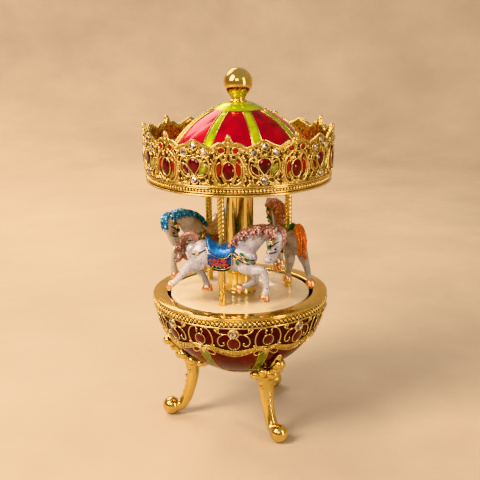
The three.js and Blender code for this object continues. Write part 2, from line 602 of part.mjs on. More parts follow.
function comb() {
  const width = COMB.teeth * COMB.pitch;
  const left = (DRUM.from + DRUM.to) / 2 - width / 2;
  const tip = -(DRUM.radius + DRUM.pin + COMB.gap);
  const shape = new THREE.Shape();
  shape.moveTo(left, COMB.back);
  shape.lineTo(left + width - 5, COMB.back);
  shape.lineTo(left + width, COMB.back + 3.4);
  for (let k = COMB.teeth - 1; k >= 0; k--) {
    const low = left + k * COMB.pitch + 0.1;
    const high = left + (k + 1) * COMB.pitch - 0.1;
    const root = COMB.root + 3 * (k / (COMB.teeth - 1));
    shape.lineTo(high, root);
    shape.lineTo(high, tip);
    shape.lineTo(low, tip);
    shape.lineTo(low, root);
  }
  shape.closePath();
  const plate = solid(new THREE.ExtrudeGeometry(shape, { depth: COMB.thickness, bevelEnabled: false }));
  const holes = combScrewSpots().map(([x, y]) => disc(0.9, -1, 2, 8).translate([x, y, 0]));
  return cut(plate, ...holes).translate([0, 0, drumZ - COMB.thickness / 2]);
}

function combScrewSpots() {
  return [[DRUM.from + 1.9, COMB.back + 2.2], [DRUM.from + 5.1, COMB.back + 2.2]];
}

const combBottom = drumZ - COMB.thickness / 2;

function combRiser() {
  const [x0, x1] = [DRUM.from + 0.4, DRUM.from + 6.6];
  const block = box([x0, COMB.back + 1, BEDPLATE.top], [x1, COMB.back + 3.8, combBottom]);
  return cut(block, ...combScrewSpots().map(([x, y]) => disc(0.9, combBottom - 4, 60, 8).translate([x, y, 0])));
}

add("steel_comb", comb(), steel);
add("comb_riser", combRiser(), zinc);
combScrewSpots().forEach(([x, y], i) => {
  const top = combBottom + COMB.thickness;
  const screw = join(disc(0.8, combBottom - 3, top + 0.3, 8), disc(1.4, top + 0.05, top + 0.9, 10));
  add(`comb_screw_${i + 1}`, screw.translate([x, y, 0]), steel);
});

// An upright plate with a foot on the bedplate and a hole for a shaft along X.
function bearing(fromX, toX, footX, halfWidth, shaftRadius, z) {
  const upright = box([fromX, -halfWidth, BEDPLATE.top], [toX, halfWidth, z + 2.2]);
  const [low, high] = [Math.min(footX, fromX), Math.max(footX, toX)];
  const foot = box([low, -halfWidth, BEDPLATE.top], [high, halfWidth, BEDPLATE.top + 1.2]);
  return cut(join(upright, foot), rod(shaftRadius, -40, 40, 0, z));
}

add("drum_bearing_inner", bearing(13.5, 14.1, 17.4, 2.6, DRUM.shaft, drumZ), zinc);

// The outer bearing leans out over the bedplate's edge, where the bowl is wider.
function outerBearing() {
  const [fromX, toX] = [DRUM.to + 0.3, DRUM.to + 1.5];
  const upright = box([fromX, -2.6, 45], [toX, 2.6, drumZ + 2.2]);
  const shelf = box([24.4, -2.6, 44.4], [toX, 2.6, 45.6]);
  const pillar = box([24.4, -2.6, BEDPLATE.top], [26, 2.6, 45]);
  return cut(join(upright, shelf, pillar), rod(DRUM.shaft, 20, 40, 0, drumZ));
}

add("drum_bearing_outer", outerBearing(), zinc);

// ---------------------------------------------------------------- governor
const governorZ = PITCH_PLANE + (MODULE_MM * TEETH.governor) / 2;
const { wheelAt, shaft: governorShaft, wormRadius, fanBottom, fanTop, fanRadius } = GOVERNOR;

add("governor_pinion", gearOnX(TEETH.governor, 1.6, -crownPitchRadius - 0.8, governorShaft, governorZ), brass);
add("governor_wheel", gearOnX(TEETH.worm, 1.2, wheelAt - 0.6, governorShaft, governorZ), brass);
add("governor_shaft", rod(governorShaft - 0.08, wheelAt - 3.4, -crownPitchRadius + 1, 0, governorZ, 10), steel);

// A single-start worm standing upright beside the wheel, its thread on a slim core.
function governorWorm() {
  const [lead, perTurn, turns] = [Math.PI * MODULE_MM, 12, 2];
  const coreRadius = wormRadius - 0.5;
  const rings = Array.from({ length: turns * perTurn + 1 }, (_, i) => {
    const angle = (2 * Math.PI * i) / perTurn;
    const z = lead * (i / perTurn - turns / 2 - 0.25); // a gap faces the wheel's nearest tooth
    const point = (r, dz) => [r * Math.cos(angle), r * Math.sin(angle), z + dz];
    return [
      point(coreRadius - 0.2, -0.26), point(wormRadius + 0.3, -0.12),
      point(wormRadius + 0.3, 0.12), point(coreRadius - 0.2, 0.26),
    ];
  });
  const core = disc(coreRadius, -2.6, 2.6, 12);
  const shaft = disc(0.6, BEDPLATE.bottom + 0.5 - governorZ, 60 - governorZ - 0.9, 8);
  return join(loft(rings), core, shaft).translate([wheelAt, wormOffset, governorZ]);
}

add("governor_worm", governorWorm(), steel);

// Two flat vanes on a sleeve round the worm's shaft.
function governorFan() {
  const sleeve = disc(1.3, fanBottom, fanTop, 10);
  const vanes = box([-fanRadius, -0.2, fanBottom + 0.4], [fanRadius, 0.2, fanTop]);
  return cut(join(sleeve, vanes), disc(0.65, 50, 60, 8)).translate([wheelAt, wormOffset, 0]);
}

add("governor_fan", governorFan(), brass);

// One bent bracket holds the wheel's shaft between two cheeks and the worm's upper pivot on an arm.
function governorBracket() {
  const [inner, outer] = [wheelAt + 2.6, wheelAt - 2.6];
  const cheek = (x) => box([x - 0.5, -1.5, BEDPLATE.top], [x + 0.5, 1.5, governorZ + 2]);
  const base = box([outer - 0.5, -1.5, BEDPLATE.top], [inner + 0.5, 1.5, BEDPLATE.top + 1]);
  const [postY, postTop] = [wormOffset + fanRadius + 0.6, 59.7];
  const foot = box([wheelAt - 1.5, -1.5, BEDPLATE.top], [wheelAt + 1.5, postY + 1.2, BEDPLATE.top + 1]);
  const post = box([wheelAt - 1.5, postY, BEDPLATE.top], [wheelAt + 1.5, postY + 1.2, postTop]);
  const arm = box([wheelAt - 1.5, wormOffset - 1.5, postTop - 0.9], [wheelAt + 1.5, postY + 1.2, postTop]);
  const shaftHole = rod(governorShaft, -30, -10, 0, governorZ);
  const wormHole = disc(0.6 + RUNNING_GAP, 30, 62, 12).translate([wheelAt, wormOffset, 0]);
  return cut(join(cheek(inner), cheek(outer), base, foot, post, arm), shaftHole, wormHole);
}

add("governor_bracket", governorBracket(), zinc);

export { nodes };
export default group;
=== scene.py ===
"""Looks for the wind-up carousel music box: enamelled egg, jewelled crown, horses and movement."""
import math
import random

import bpy
from mathutils import Matrix, Vector


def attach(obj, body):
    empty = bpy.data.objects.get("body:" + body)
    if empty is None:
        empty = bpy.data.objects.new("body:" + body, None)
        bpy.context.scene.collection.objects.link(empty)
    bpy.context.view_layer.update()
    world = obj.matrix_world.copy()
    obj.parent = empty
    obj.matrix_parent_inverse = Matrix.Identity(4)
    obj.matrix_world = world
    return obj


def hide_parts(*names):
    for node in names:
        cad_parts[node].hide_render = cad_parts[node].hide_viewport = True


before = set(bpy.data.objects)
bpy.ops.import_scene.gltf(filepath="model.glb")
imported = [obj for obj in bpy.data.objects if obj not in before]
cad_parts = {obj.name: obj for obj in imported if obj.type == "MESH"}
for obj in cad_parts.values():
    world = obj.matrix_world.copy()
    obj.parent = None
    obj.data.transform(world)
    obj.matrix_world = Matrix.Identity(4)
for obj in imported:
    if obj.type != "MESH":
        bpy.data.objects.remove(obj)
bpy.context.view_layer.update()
MM = 0.001
X, Y, Z = Vector((1, 0, 0)), Vector((0, 1, 0)), Vector((0, 0, 1))
SIDES = (-1, 1)


# ---------------------------------------------------------------- materials
class Nodes:
    """A small wrapper for building one Principled material."""

    def __init__(self, name):
        self.material = bpy.data.materials.new(name)
        self.material.use_nodes = True
        self.tree = self.material.node_tree
        self.bsdf = self.tree.nodes["Principled BSDF"]

    def new(self, kind, **values):
        node = self.tree.nodes.new(kind)
        for key, value in values.items():
            if hasattr(node, key):
                setattr(node, key, value)
            else:
                node.inputs[key.replace("_", " ")].default_value = value
        return node

    def link(self, source, target):
        self.tree.links.new(source, target)

    def texture(self, kind, output, **values):
        node = self.new(kind, **values)
        self.link(self.new("ShaderNodeTexCoord").outputs["Object"], node.inputs["Vector"])
        return node.outputs[output]

    def noise(self, scale, detail=3.0, rough=0.55, distortion=0.0):
        return self.texture("ShaderNodeTexNoise", "Fac", Scale=scale, Detail=detail,
            Roughness=rough, Distortion=distortion)

    def cells(self, scale):
        return self.texture("ShaderNodeTexVoronoi", "Color", Scale=scale)

    def ramp(self, factor, stops):
        node = self.new("ShaderNodeValToRGB")
        elements = node.color_ramp.elements
        while len(elements) < len(stops):
            elements.new(0.5)
        for element, (position, colour) in zip(elements, stops):
            element.position = position
            element.color = (*colour, 1)
        self.link(factor, node.inputs["Fac"])
        return node.outputs["Color"]

    def span(self, factor, low, high, start=0.3, end=0.7):
        node = self.new("ShaderNodeMapRange")
        for key, value in (("From Min", start), ("From Max", end), ("To Min", low), ("To Max",
                high)):
            node.inputs[key].default_value = value
        self.link(factor, node.inputs["Value"])
        return node.outputs["Result"]

    def mix(self, factor, a, b):
        node = self.new("ShaderNodeMix", data_type="RGBA")
        for value, socket in ((factor, node.inputs[0]), (a, node.inputs[6]), (b, node.inputs[7])):
            if isinstance(value, tuple):
                socket.default_value = (*value, 1)
            else:
                self.link(value, socket)
        return node.outputs[2]

    def bump(self, height, strength, distance):
        node = self.new("ShaderNodeBump", Strength=strength, Distance=distance)
        self.link(height, node.inputs["Height"])
        self.link(node.outputs["Normal"], self.bsdf.inputs["Normal"])

    def set(self, **values):
        for key, value in values.items():
            socket = self.bsdf.inputs[key.replace("_", " ")]
            if isinstance(value, (int, float)):
                socket.default_value = value
            else:
                self.link(value, socket)


def metal(name, light, dark, rough=(0.1, 0.24), grain=900, bump=0.08):
    n = Nodes(name)
    broad = n.noise(55, 4)
    colour = n.ramp(broad, [(0.3, dark), (0.62, light)])
    fine = n.noise(grain, 5, 0.65)
    n.set(Base_Color=colour, Metallic=1.0, Roughness=n.span(fine, rough[0], rough[1]))
    n.bump(fine, bump, 0.00006)
    return n.material


def plate_metal():
    """Cast gold whose recesses, marked by a colour attribute, are painted dark: painted shade in the
    pits and openings.
    """
    n = Nodes("cast_gold")
    depth = n.new("ShaderNodeAttribute", attribute_name="recess_shade").outputs["Fac"]
    broad = n.noise(140, 5)
    gold = n.ramp(broad, [(0.32, (0.46, 0.30, 0.08)), (0.62, (0.75, 0.55, 0.21))])
    # the dark brown-gold mixed in by the mark is painted shade, not a colour of the gold
    colour = n.mix(n.span(depth, 0.0, 1.0, 0.12, 0.75), gold, (0.155, 0.066, 0.012))
    fine = n.noise(1100, 5, 0.65)
    n.set(Base_Color=colour, Metallic=1.0, Roughness=n.span(fine, 0.16, 0.36))
    n.bump(n.noise(520, 4), 0.5, 0.0003)
    return n.material


def enamel(name, deep, bright, metallic=0.55, rough=0.14, scale=65, coat=0.55):
    """Translucent enamel over a metal ground: mottled colour under a clear gloss coat."""
    n = Nodes(name)
    cloud = n.noise(scale, 6, 0.62, 0.7)
    colour = n.ramp(cloud, [(0.3, deep), (0.68, bright)])
    n.set(Base_Color=colour, Metallic=metallic, Roughness=n.span(n.noise(300, 4), rough, rough
        + 0.12), Specular_IOR_Level=0.1, Coat_Weight=coat, Coat_Roughness=0.03, Coat_IOR=1.5)
    n.bump(n.noise(240, 3), 0.06, 0.0004)
    return n.material


def gem(name, deep, bright):
    n = Nodes(name)
    cloud = n.noise(260, 2)
    n.set(Base_Color=n.ramp(cloud, [(0.35, deep), (0.7, bright)]), Metallic=0.35,
        Roughness=n.span(n.noise(900, 2), 0.03, 0.08), Specular_IOR_Level=0.2, Coat_Weight=0.7,
        Coat_Roughness=0.02, Coat_IOR=1.55)
    return n.material


def crystal():
    n = Nodes("clear_crystal")
    cloud = n.noise(850, 2)
    n.set(Base_Color=n.ramp(cloud, [(0.42, (0.09, 0.05, 0.05)), (0.58, (0.90, 0.83, 0.80))]),
        Metallic=0.85, Roughness=n.span(n.noise(1200, 2), 0.02, 0.07), Coat_Weight=1.0,
        Coat_Roughness=0.01, Coat_IOR=1.8)
    return n.material


def glitter_paint(name, base, dark, fleck, fleck_share=0.2, rough=(0.3, 0.5), metallic=0.15,
        cell=1500):
    """Pearly paint with coarse glitter flecks."""
    n = Nodes(name)
    cloud = n.noise(170, 5, 0.6)
    ground = n.ramp(cloud, [(0.32, dark), (0.6, base)])
    spark = n.new("ShaderNodeSeparateColor")
    n.link(n.cells(cell), spark.inputs["Color"])
    shown = n.span(spark.outputs["Red"], 0.0, 1.0, 1 - fleck_share, 1 - fleck_share + 0.04)
    n.set(Base_Color=n.mix(shown, ground, fleck), Metallic=metallic,
        Roughness=n.span(spark.outputs["Green"], rough[0], rough[1], 0, 1), Coat_Weight=0.35,
        Coat_Roughness=0.12)
    n.bump(n.noise(1300, 4, 0.6), 0.35, 0.00012)
    return n.material


def pearl_top():
    n = Nodes("pearl_lacquer")
    cloud = n.noise(26, 5, 0.6, 0.8)
    n.set(Base_Color=n.ramp(cloud, [(0.3, (0.82, 0.66, 0.46)), (0.66, (0.88, 0.74, 0.54))]),
        Roughness=n.span(n.noise(400, 4), 0.27, 0.31), Coat_Weight=0.3, Coat_Roughness=0.14,
        Subsurface_Weight=0.08, Subsurface_Scale=0.002)
    n.bump(n.noise(90, 4), 0.05, 0.0004)
    return n.material


def floor_stone():
    n = Nodes("pale_floor")
    cloud = n.noise(9, 8, 0.6)
    n.set(Base_Color=n.ramp(cloud, [(0.3, (0.50, 0.385, 0.28)), (0.7, (0.61, 0.48, 0.36))]),
        Roughness=n.span(n.noise(60, 4), 0.55, 0.75))
    n.bump(n.noise(350, 6), 0.15, 0.0006)
    return n.material


GOLD = metal("polished_gold", (0.86, 0.64, 0.25), (0.72, 0.50, 0.16), (0.06, 0.16), bump=0.05)
GOLD_WIRE = metal("gold_wire", (0.88, 0.68, 0.33), (0.64, 0.44, 0.14), (0.1, 0.26), grain=1400,
    bump=0.15)
# dark gold for the grounds behind beaded edges: painted shade
GOLD_SHADE = metal("shaded_gold", (0.45, 0.25, 0.045), (0.22, 0.10, 0.014), (0.2, 0.36))
GOLD_CAST = plate_metal()
GOLD_PALE = metal("pale_gold", (1.0, 0.74, 0.34), (0.9, 0.58, 0.2), (0.1, 0.22))
RED = enamel("ruby_enamel", (0.16, 0.0, 0.008), (0.72, 0.004, 0.022), 0.5)
BURGUNDY = enamel("burgundy_enamel", (0.012, 0.0, 0.002), (0.10, 0.001, 0.008), 0.35, 0.12, 90,
    coat=0.35)
BOWL_RED = enamel("bowl_ruby_enamel", (0.045, 0.0, 0.002), (0.23, 0.001, 0.005), 0.5, 0.18, 70,
    coat=0.14)
LIME = enamel("lime_enamel", (0.25, 0.29, 0.004), (0.52, 0.55, 0.012), 0.3, 0.2, 90)
OLIVE = enamel("olive_enamel", (0.08, 0.12, 0.006), (0.27, 0.33, 0.015), 0.3, 0.2, 120)
RUBY = gem("ruby_stone", (0.04, 0.0, 0.004), (0.22, 0.001, 0.010))
SCARLET = enamel("scarlet_enamel", (0.16, 0.004, 0.003), (0.50, 0.016, 0.008), 0.4, 0.15, 300)
PERIDOT = gem("peridot_stone", (0.12, 0.16, 0.01), (0.42, 0.46, 0.05))
FLOWER = enamel("rose_paint", (0.24, 0.012, 0.015), (0.66, 0.13, 0.10), 0.05, 0.3, 420)
LEAF = enamel("leaf_paint", (0.01, 0.05, 0.01), (0.06, 0.22, 0.04), 0.1, 0.25, 420)
CRYSTAL = crystal()
PEARL = pearl_top()
BLACK = metal("black_lacquer", (0.03, 0.025, 0.03), (0.01, 0.01, 0.012), (0.25, 0.4))
BRASS = metal("turned_brass", (0.87, 0.62, 0.26), (0.72, 0.48, 0.17), (0.2, 0.34), grain=700,
    bump=0.2)
NICKEL = metal("nickel_plate", (0.66, 0.65, 0.62), (0.5, 0.49, 0.47), (0.22, 0.38), grain=800,
    bump=0.2)
STEEL = metal("bright_steel", (0.7, 0.7, 0.72), (0.52, 0.52, 0.55), (0.18, 0.3), grain=900,
    bump=0.15)
BLUED = metal("blued_steel", (0.12, 0.13, 0.2), (0.05, 0.05, 0.09), (0.25, 0.4))
HOOF = metal("peach_gold", (0.98, 0.62, 0.38), (0.86, 0.45, 0.24), (0.2, 0.34))


# ---------------------------------------------------------------- mesh building
class Builder:
    """Collects vertices in millimetres and turns them into one named piece."""

    def __init__(self):
        self.verts, self.faces, self.shade_marks = [], [], {}

    def add(self, verts, faces):
        start = len(self.verts)
        self.verts += [Vector(v) for v in verts]
        self.faces += [tuple(start + i for i in face) for face in faces]
        return start

    def mesh(self, name):
        mesh = bpy.data.meshes.new(name)
        mesh.from_pydata([v * MM for v in self.verts], [], self.faces)
        # the marks become a point attribute that cast gold paints dark: painted shade in its pits
        if self.shade_marks:
            layer = mesh.attributes.new("recess_shade", "FLOAT", "POINT")
            for index, value in self.shade_marks.items():
                layer.data[index].value = value
        mesh.validate()
        mesh.update()
        return mesh

    def piece(self, name, material, body, slot="gold", replaces=(), smooth=True, place=None):
        mesh = self.mesh(name)
        if place is not None:
            mesh.transform(place)
        return show(name, mesh, material, body, replaces, smooth)


def show(name, mesh, material, body, replaces=(), smooth=True):
    mesh.materials.clear()
    mesh.materials.append(material)
    mesh.polygons.foreach_set("use_smooth", [smooth] * len(mesh.polygons))
    obj = bpy.data.objects.new(name, mesh)
    bpy.context.scene.collection.objects.link(obj)
    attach(obj, body)
    if replaces:
        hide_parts(*replaces)
    return obj


def spin(theta):
    """Unit vector at an angle from the front, towards the right."""
    angle = math.radians(theta)
    return Vector((math.sin(angle), -math.cos(angle), 0))


def loft(b, rings, loop=False, flip=False, closed=True):
    """Joins rings of equal size by quads. An open run of closed rings is capped at both ends."""
    count, size = len(rings), len(rings[0])
    faces = []
    for i in range(count if loop else count - 1):
        here, there = i * size, (i + 1) % count * size
        for k in range(size if closed else size - 1):
            m = (k + 1) % size
            corners = (there + k, there + m, here + m) if flip else (here + m, there + m, there + k)
            faces.append((here + k, *corners))
    if closed and not loop:
        faces += [tuple(reversed(range(size))), tuple((count - 1) * size + k for k in range(size))]
    return b.add([p for ring in rings for p in ring], faces)


def lathe(b, profile, segments=96, closed=True):
    """Turns (radius, z) points about the axis. A closed profile ends where it starts."""
    turns = (spin(360 * k / segments) for k in range(segments))
    loft(b, [[out * r + Z * z for r, z in profile] for out in turns], True, True, closed)


def turned(name, profile, material, body, slot, replaces=(), segments=96):
    b = Builder()
    lathe(b, profile, segments)
    b.piece(name, material, body, slot, replaces)


def ring_wire(b, r, z, radius, count=180, sides=7):
    """A wire once round the axis."""
    outs = [spin(360 / count * k) for k in range(count)]
    tube(b, [out * r + Z * z for out in outs], radius, outs, sides, closed=True)


def smooth_line(points, steps=6, closed=False):
    """Catmull-Rom curve through points of any dimension."""
    pts = [Vector(p) for p in points]
    count = len(pts)
    at = (lambda i: pts[i % count]) if closed else (lambda i: pts[min(max(i, 0), count - 1)])
    out = []
    for i in range(count if closed else count - 1):
        a, b, c, d = at(i - 1), at(i), at(i + 1), at(i + 2)
        for k in range(steps):
            t = k / steps
            out.append(0.5 * (2 * b + (c - a) * t + (2 * a - 5 * b + 4 * c - d) * t * t
                + (3 * b - a - 3 * c + d) * t ** 3))
    if not closed:
        out.append(pts[-1])
    return out


def tube(b, path, radii, normals, sides=8, closed=False, flat=1.0):
    """A round or flattened bar along path. normals say which way its flat side looks."""
    count = len(path)
    if isinstance(radii, (int, float)):
        radii = [radii] * count
    rings = []
    for i, p in enumerate(path):
        before = path[i - 1 if closed or i else 0]
        after = path[(i + 1) % count if closed else min(i + 1, count - 1)]
        along = (after - before).normalized()
        n = normals[i] if isinstance(normals, list) else normals
        across = along.cross(n).normalized()
        up = across.cross(along).normalized()
        angles = (2 * math.pi * (k + 0.5) / sides for k in range(sides))
        rings.append([p + across * (radii[i] * math.cos(a)) + up * (radii[i] * flat * math.sin(a))
            for a in angles])
    loft(b, rings, closed)


def ball(b, centre, radius, sides=10, rings=6, stretch=(1, 1, 1)):
    """A closed globe, stretched along the three axes."""
    centre = Vector(centre)

    def point(x, y, z):
        return centre + radius * (X * x * stretch[0] + Y * y * stretch[1] + Z * z * stretch[2])

    verts = [point(0, 0, -1)]
    for i in range(1, rings):
        lat = math.pi * i / rings - math.pi / 2
        for k in range(sides):
            lon = 2 * math.pi * k / sides
            verts.append(point(math.cos(lat) * math.cos(lon), math.cos(lat) * math.sin(lon),
                math.sin(lat)))
    verts.append(point(0, 0, 1))
    faces = []
    for k in range(sides):
        m = (k + 1) % sides
        faces.append((0, 1 + m, 1 + k))
        last = 1 + (rings - 2) * sides
        faces.append((len(verts) - 1, last + k, last + m))
        for i in range(rings - 2):
            faces.append((1 + i * sides + k, 1 + i * sides + m, 1 + (i + 1) * sides + m, 1 + (i + 1)
                * sides + k))
    b.add(verts, faces)


class Skin:
    """A turned surface given by radius(z); ornament is laid on it by angle and height."""

    def __init__(self, radius):
        self.radius = radius

    def frame(self, theta, z, lift=0.0):
        r = self.radius(z)
        slope = (self.radius(z + 0.05) - self.radius(z - 0.05)) / 0.1
        out = spin(theta)
        right = Vector((math.cos(math.radians(theta)), math.sin(math.radians(theta)), 0))
        normal = (out - Z * slope).normalized()
        up = (Z + out * slope).normalized()
        return out * r + Z * z + normal * lift, right, up, normal

    def at(self, theta0, x, z, lift=0.0):
        """x is millimetres along the surface from angle theta0."""
        return self.frame(theta0 + math.degrees(x / self.radius(z)), z, lift)

    def wire(self, b, theta0, points, radius, lift=0.0, taper=None, steps=5, sides=7):
        """A wire through (x, z) points; taper is its thickness at the ends as a share."""
        line = smooth_line(points, steps)
        spots = [self.at(theta0, p[0], p[1], lift) for p in line]
        if taper:
            count = len(line) - 1
            radius = [radius * (1 - (1 - taper) * abs(2 * i / count - 1) ** 2)
                for i in range(count + 1)]
        tube(b, [s[0] for s in spots], radius, [s[3] for s in spots], sides)

    def bead(self, b, theta0, x, z, radius, lift=0.0, sides=9, rings=6):
        ball(b, self.at(theta0, x, z, lift)[0], radius, sides, rings)

    def mirrored(self, b, theta, z0, wires, beads):
        """Wires (points, radius, lift, taper, steps) and beads (x, z, radius, lift), mirrored."""
        for side in SIDES:
            for points, *look in wires:
                self.wire(b, theta, [(side * x, z0 + z) for x, z in points], *look)
            for x, z, radius, lift in beads:
                self.bead(b, theta, side * x, z0 + z, radius, lift)


def circle(count):
    """count angles once round, in radians."""
    return [2 * math.pi * k / count for k in range(count)]


def tilted(points, tilt):
    c, s = math.cos(math.radians(tilt)), math.sin(math.radians(tilt))
    return [(x * c - y * s, x * s + y * c) for x, y in points]


def ellipse(rx, ry, count=20, tilt=0.0):
    return tilted([(rx * math.cos(a), ry * math.sin(a)) for a in circle(count)], tilt)


def pear(rx, top, bottom):
    """Round at the top, pointed at the bottom."""
    out = []
    for a in circle(24):
        y = math.sin(a)
        width = math.cos(a) * (1 if y > 0 else (1 + y * 0.55) * (1 - 0.25 * y * y))
        out.append((rx * width, top * y if y > 0 else bottom * y))
    return out


def leaf(length, width, tilt, count=18):
    """A navette, pointed at both ends."""
    points = [(math.cos(a) * (1 - abs(math.sin(a)) ** 1.6 * 0.55) * width, math.sin(a) * length)
        for a in circle(count)]
    return tilted(points, tilt)


FACETED = ((1.0, 0.0), (0.92, 0.45), (0.7, 0.85), (0.4, 1.0))
CABOCHON = ((1.0, 0.0), (0.9, 0.5), (0.62, 0.9), (0.3, 1.0))
BRILLIANT = ((1.0, 0.0), (0.82, 0.55), (0.5, 0.8))


def stone(b, place, outline, height, steps=FACETED, sink=0.3):
    """A stone: the outline stepped in as (share, rise) towards a table, closed at the back."""
    p, right, up, normal = place
    rings = [[p + right * x + up * y + normal * -sink for x, y in outline]]
    for share, rise in steps:
        rings.append([p + right * (x * share) + up * (y * share) + normal * (height * rise) for x,
            y in outline])
    loft(b, rings)


def bezel(b, place, outline, radius, lift=0.0):
    p, right, up, normal = place
    path = [p + right * x + up * y + normal * lift for x, y in outline]
    tube(b, path, radius, normal, 7, closed=True)


def cut_crystal(stones, wires, place, radius):
    """A round brilliant in a bezel with four grains."""
    stone(stones, place, ellipse(radius, radius, 8, 22.5), radius * 0.75, BRILLIANT)
    bezel(wires, place, ellipse(radius * 1.15, radius * 1.15, 16), radius * 0.2, 0.1)
    p, right, up, normal = place
    for k in range(4):
        a = math.radians(45 + 90 * k)
        spot = p + (right * math.cos(a) + up * math.sin(a)) * radius * 1.1 + normal * 0.32
        ball(wires, spot, radius * 0.2, 6, 4)


def rib(strip, wires, skin, theta, heights, half, rise, back, edge, **wire):
    """An enamel strip up a turned surface, half(z) wide each way, with a wire along each side."""
    rows = [[skin.at(theta, half(z) * s, z, rise(s))[0] for s in (-1, -0.5, 0, 0.5, 1)]
        + [skin.at(theta, half(z) * s, z, back)[0] for s in (1, -1)] for z in heights]
    loft(strip, rows)
    for side in SIDES:
        line = [((half(z) + edge) * side, z) for z in heights[::2]]
        skin.wire(wires, theta, line, **wire)


# ---------------------------------------------------------------- forms shared with the solids
# Millimetres, and degrees from the front unless a name says azimuth.
BOWL_AXIS, BOWL_DEPTH, BOWL_RADIUS, BOWL_POWER = 62.0, 36.6, 39.2, 1.9
DOME_AXIS, DOME_RISE, DOME_RADIUS, DOME_POWER = 121.8, 28.9, 33.3, 1.72
WALL = 1.6  # the bowl's
DISC_TOP, CEILING = 63.4, 117.0
ROD = 1.7  # radius of the hole for the tie rod
CROWN_LOW, CROWN_FACE = 120.9, 42.3  # lower edge, and the radius that the pits are spaced on
PITCH, PINNACLE_AT, GABLE_AT = 40, -5.7, 14.3  # nine of each round the crown
EIGHTH, RIB_AT, CABOCHON_AT, MEDALLION_AT = 45, 17, -4.5, 18
POLE_CIRCLE = 23.0
POLE_AZIMUTHS = {"front": -110.3, "right": 9.7, "left": 129.7}


def superellipse(share, power):
    return max(0.0, 1 - share ** power) ** (1 / power)


def bowl_radius(z, grow=0.0):
    share = max(0.0, BOWL_AXIS - z) / (BOWL_DEPTH + grow)
    return (BOWL_RADIUS + grow) * superellipse(share, BOWL_POWER)


def dome_radius(z, grow=0.0):
    share = max(0.0, z - DOME_AXIS) / (DOME_RISE + grow)
    return (DOME_RADIUS + grow) * superellipse(share, DOME_POWER)


def crown_radius(z):
    return 41.5 + 0.8 * max(0.0, min(1.0, (z - 121) / 21)) ** 1.3


def pole_centre(name):
    azimuth = math.radians(POLE_AZIMUTHS[name])
    return Vector((POLE_CIRCLE * math.cos(azimuth), POLE_CIRCLE * math.sin(azimuth), 0))


BOWL = Skin(lambda z: bowl_radius(z, 0.55))
DOME = Skin(dome_radius)
CROWN = Skin(crown_radius)


# ---------------------------------------------------------------- camera, floor and lights
def camera():
    data = bpy.data.cameras.new("camera")
    data.sensor_width, data.lens = 36.0, 63.15
    data.shift_x = 0.0008
    data.clip_start = 0.02
    obj = bpy.data.objects.new("camera", data)
    tilt, roll = math.radians(90 - 15.47), math.radians(-0.6)
    turn = Matrix.Rotation(tilt, 4, "X") @ Matrix.Rotation(roll, 4, "Z")
    obj.matrix_world = Matrix.Translation((0, -0.3753, 0.1913)) @ turn
    bpy.context.scene.collection.objects.link(obj)
    bpy.context.scene.camera = obj


def light(name, at, aim, size, power, colour):
    data = bpy.data.lights.new(name, "AREA")
    data.shape, data.size, data.size_y = "RECTANGLE", size[0], size[1]
    data.energy, data.color = power, colour
    obj = bpy.data.objects.new(name, data)
    at = Vector(at)
    obj.location = at
    obj.rotation_euler = (Vector(aim) - at).to_track_quat("-Z", "Y").to_euler()
    bpy.context.scene.collection.objects.link(obj)


def studio():
    b = Builder()
    flat, bend, top = 700, 420, 600  # a round floor that curves up into a wall
    curve = [(flat + bend * math.sin(a), bend - bend * math.cos(a))
        for a in (i * math.pi / 20 for i in range(1, 11))]
    lathe(b, [(0.1, 0), (flat, 0), *curve, (flat + bend, top)], 96, closed=False)
    mesh = b.mesh("floor")
    mesh.materials.append(floor_stone())
    mesh.polygons.foreach_set("use_smooth", [True] * len(mesh.polygons))
    obj = bpy.data.objects.new("floor", mesh)
    bpy.context.scene.collection.objects.link(obj)
    world = bpy.data.worlds.new("studio")
    bpy.context.scene.world = world
    world.use_nodes = True
    background = world.node_tree.nodes["Background"]
    background.inputs["Color"].default_value = (1.0, 0.86, 0.70, 1)
    background.inputs["Strength"].default_value = 0.46
    bpy.context.scene.view_settings.view_transform = "Khronos PBR Neutral"
    aim = (0, 0, 0.09)
    light("key", (-0.45, -0.30, 0.52), aim, (0.30, 0.42), 5.9, (1.0, 0.94, 0.85))
    light("strip", (0.52, -0.42, 0.28), aim, (0.14, 0.55), 1.9, (1.0, 0.93, 0.82))
    light("front", (-0.12, -0.75, 0.50), aim, (0.30, 0.20), 1.2, (1.0, 0.94, 0.86))
    light("wall", (-0.42, 0.34, 0.62), (-0.10, 1.0, 0.20), (0.4, 0.3), 3.4, (1.0, 0.93, 0.84))
    light("back", (-0.30, 0.60, 0.60), aim, (0.5, 0.30), 2.6, (1.0, 0.94, 0.84))


camera()
studio()


# ---------------------------------------------------------------- egg: bowl, band and rim
def quarter(depth, count, order):
    """Heights below the bowl's axis, closer together towards the bottom."""
    return (BOWL_AXIS - depth * math.cos(math.pi / 2 * i / count) for i in order)


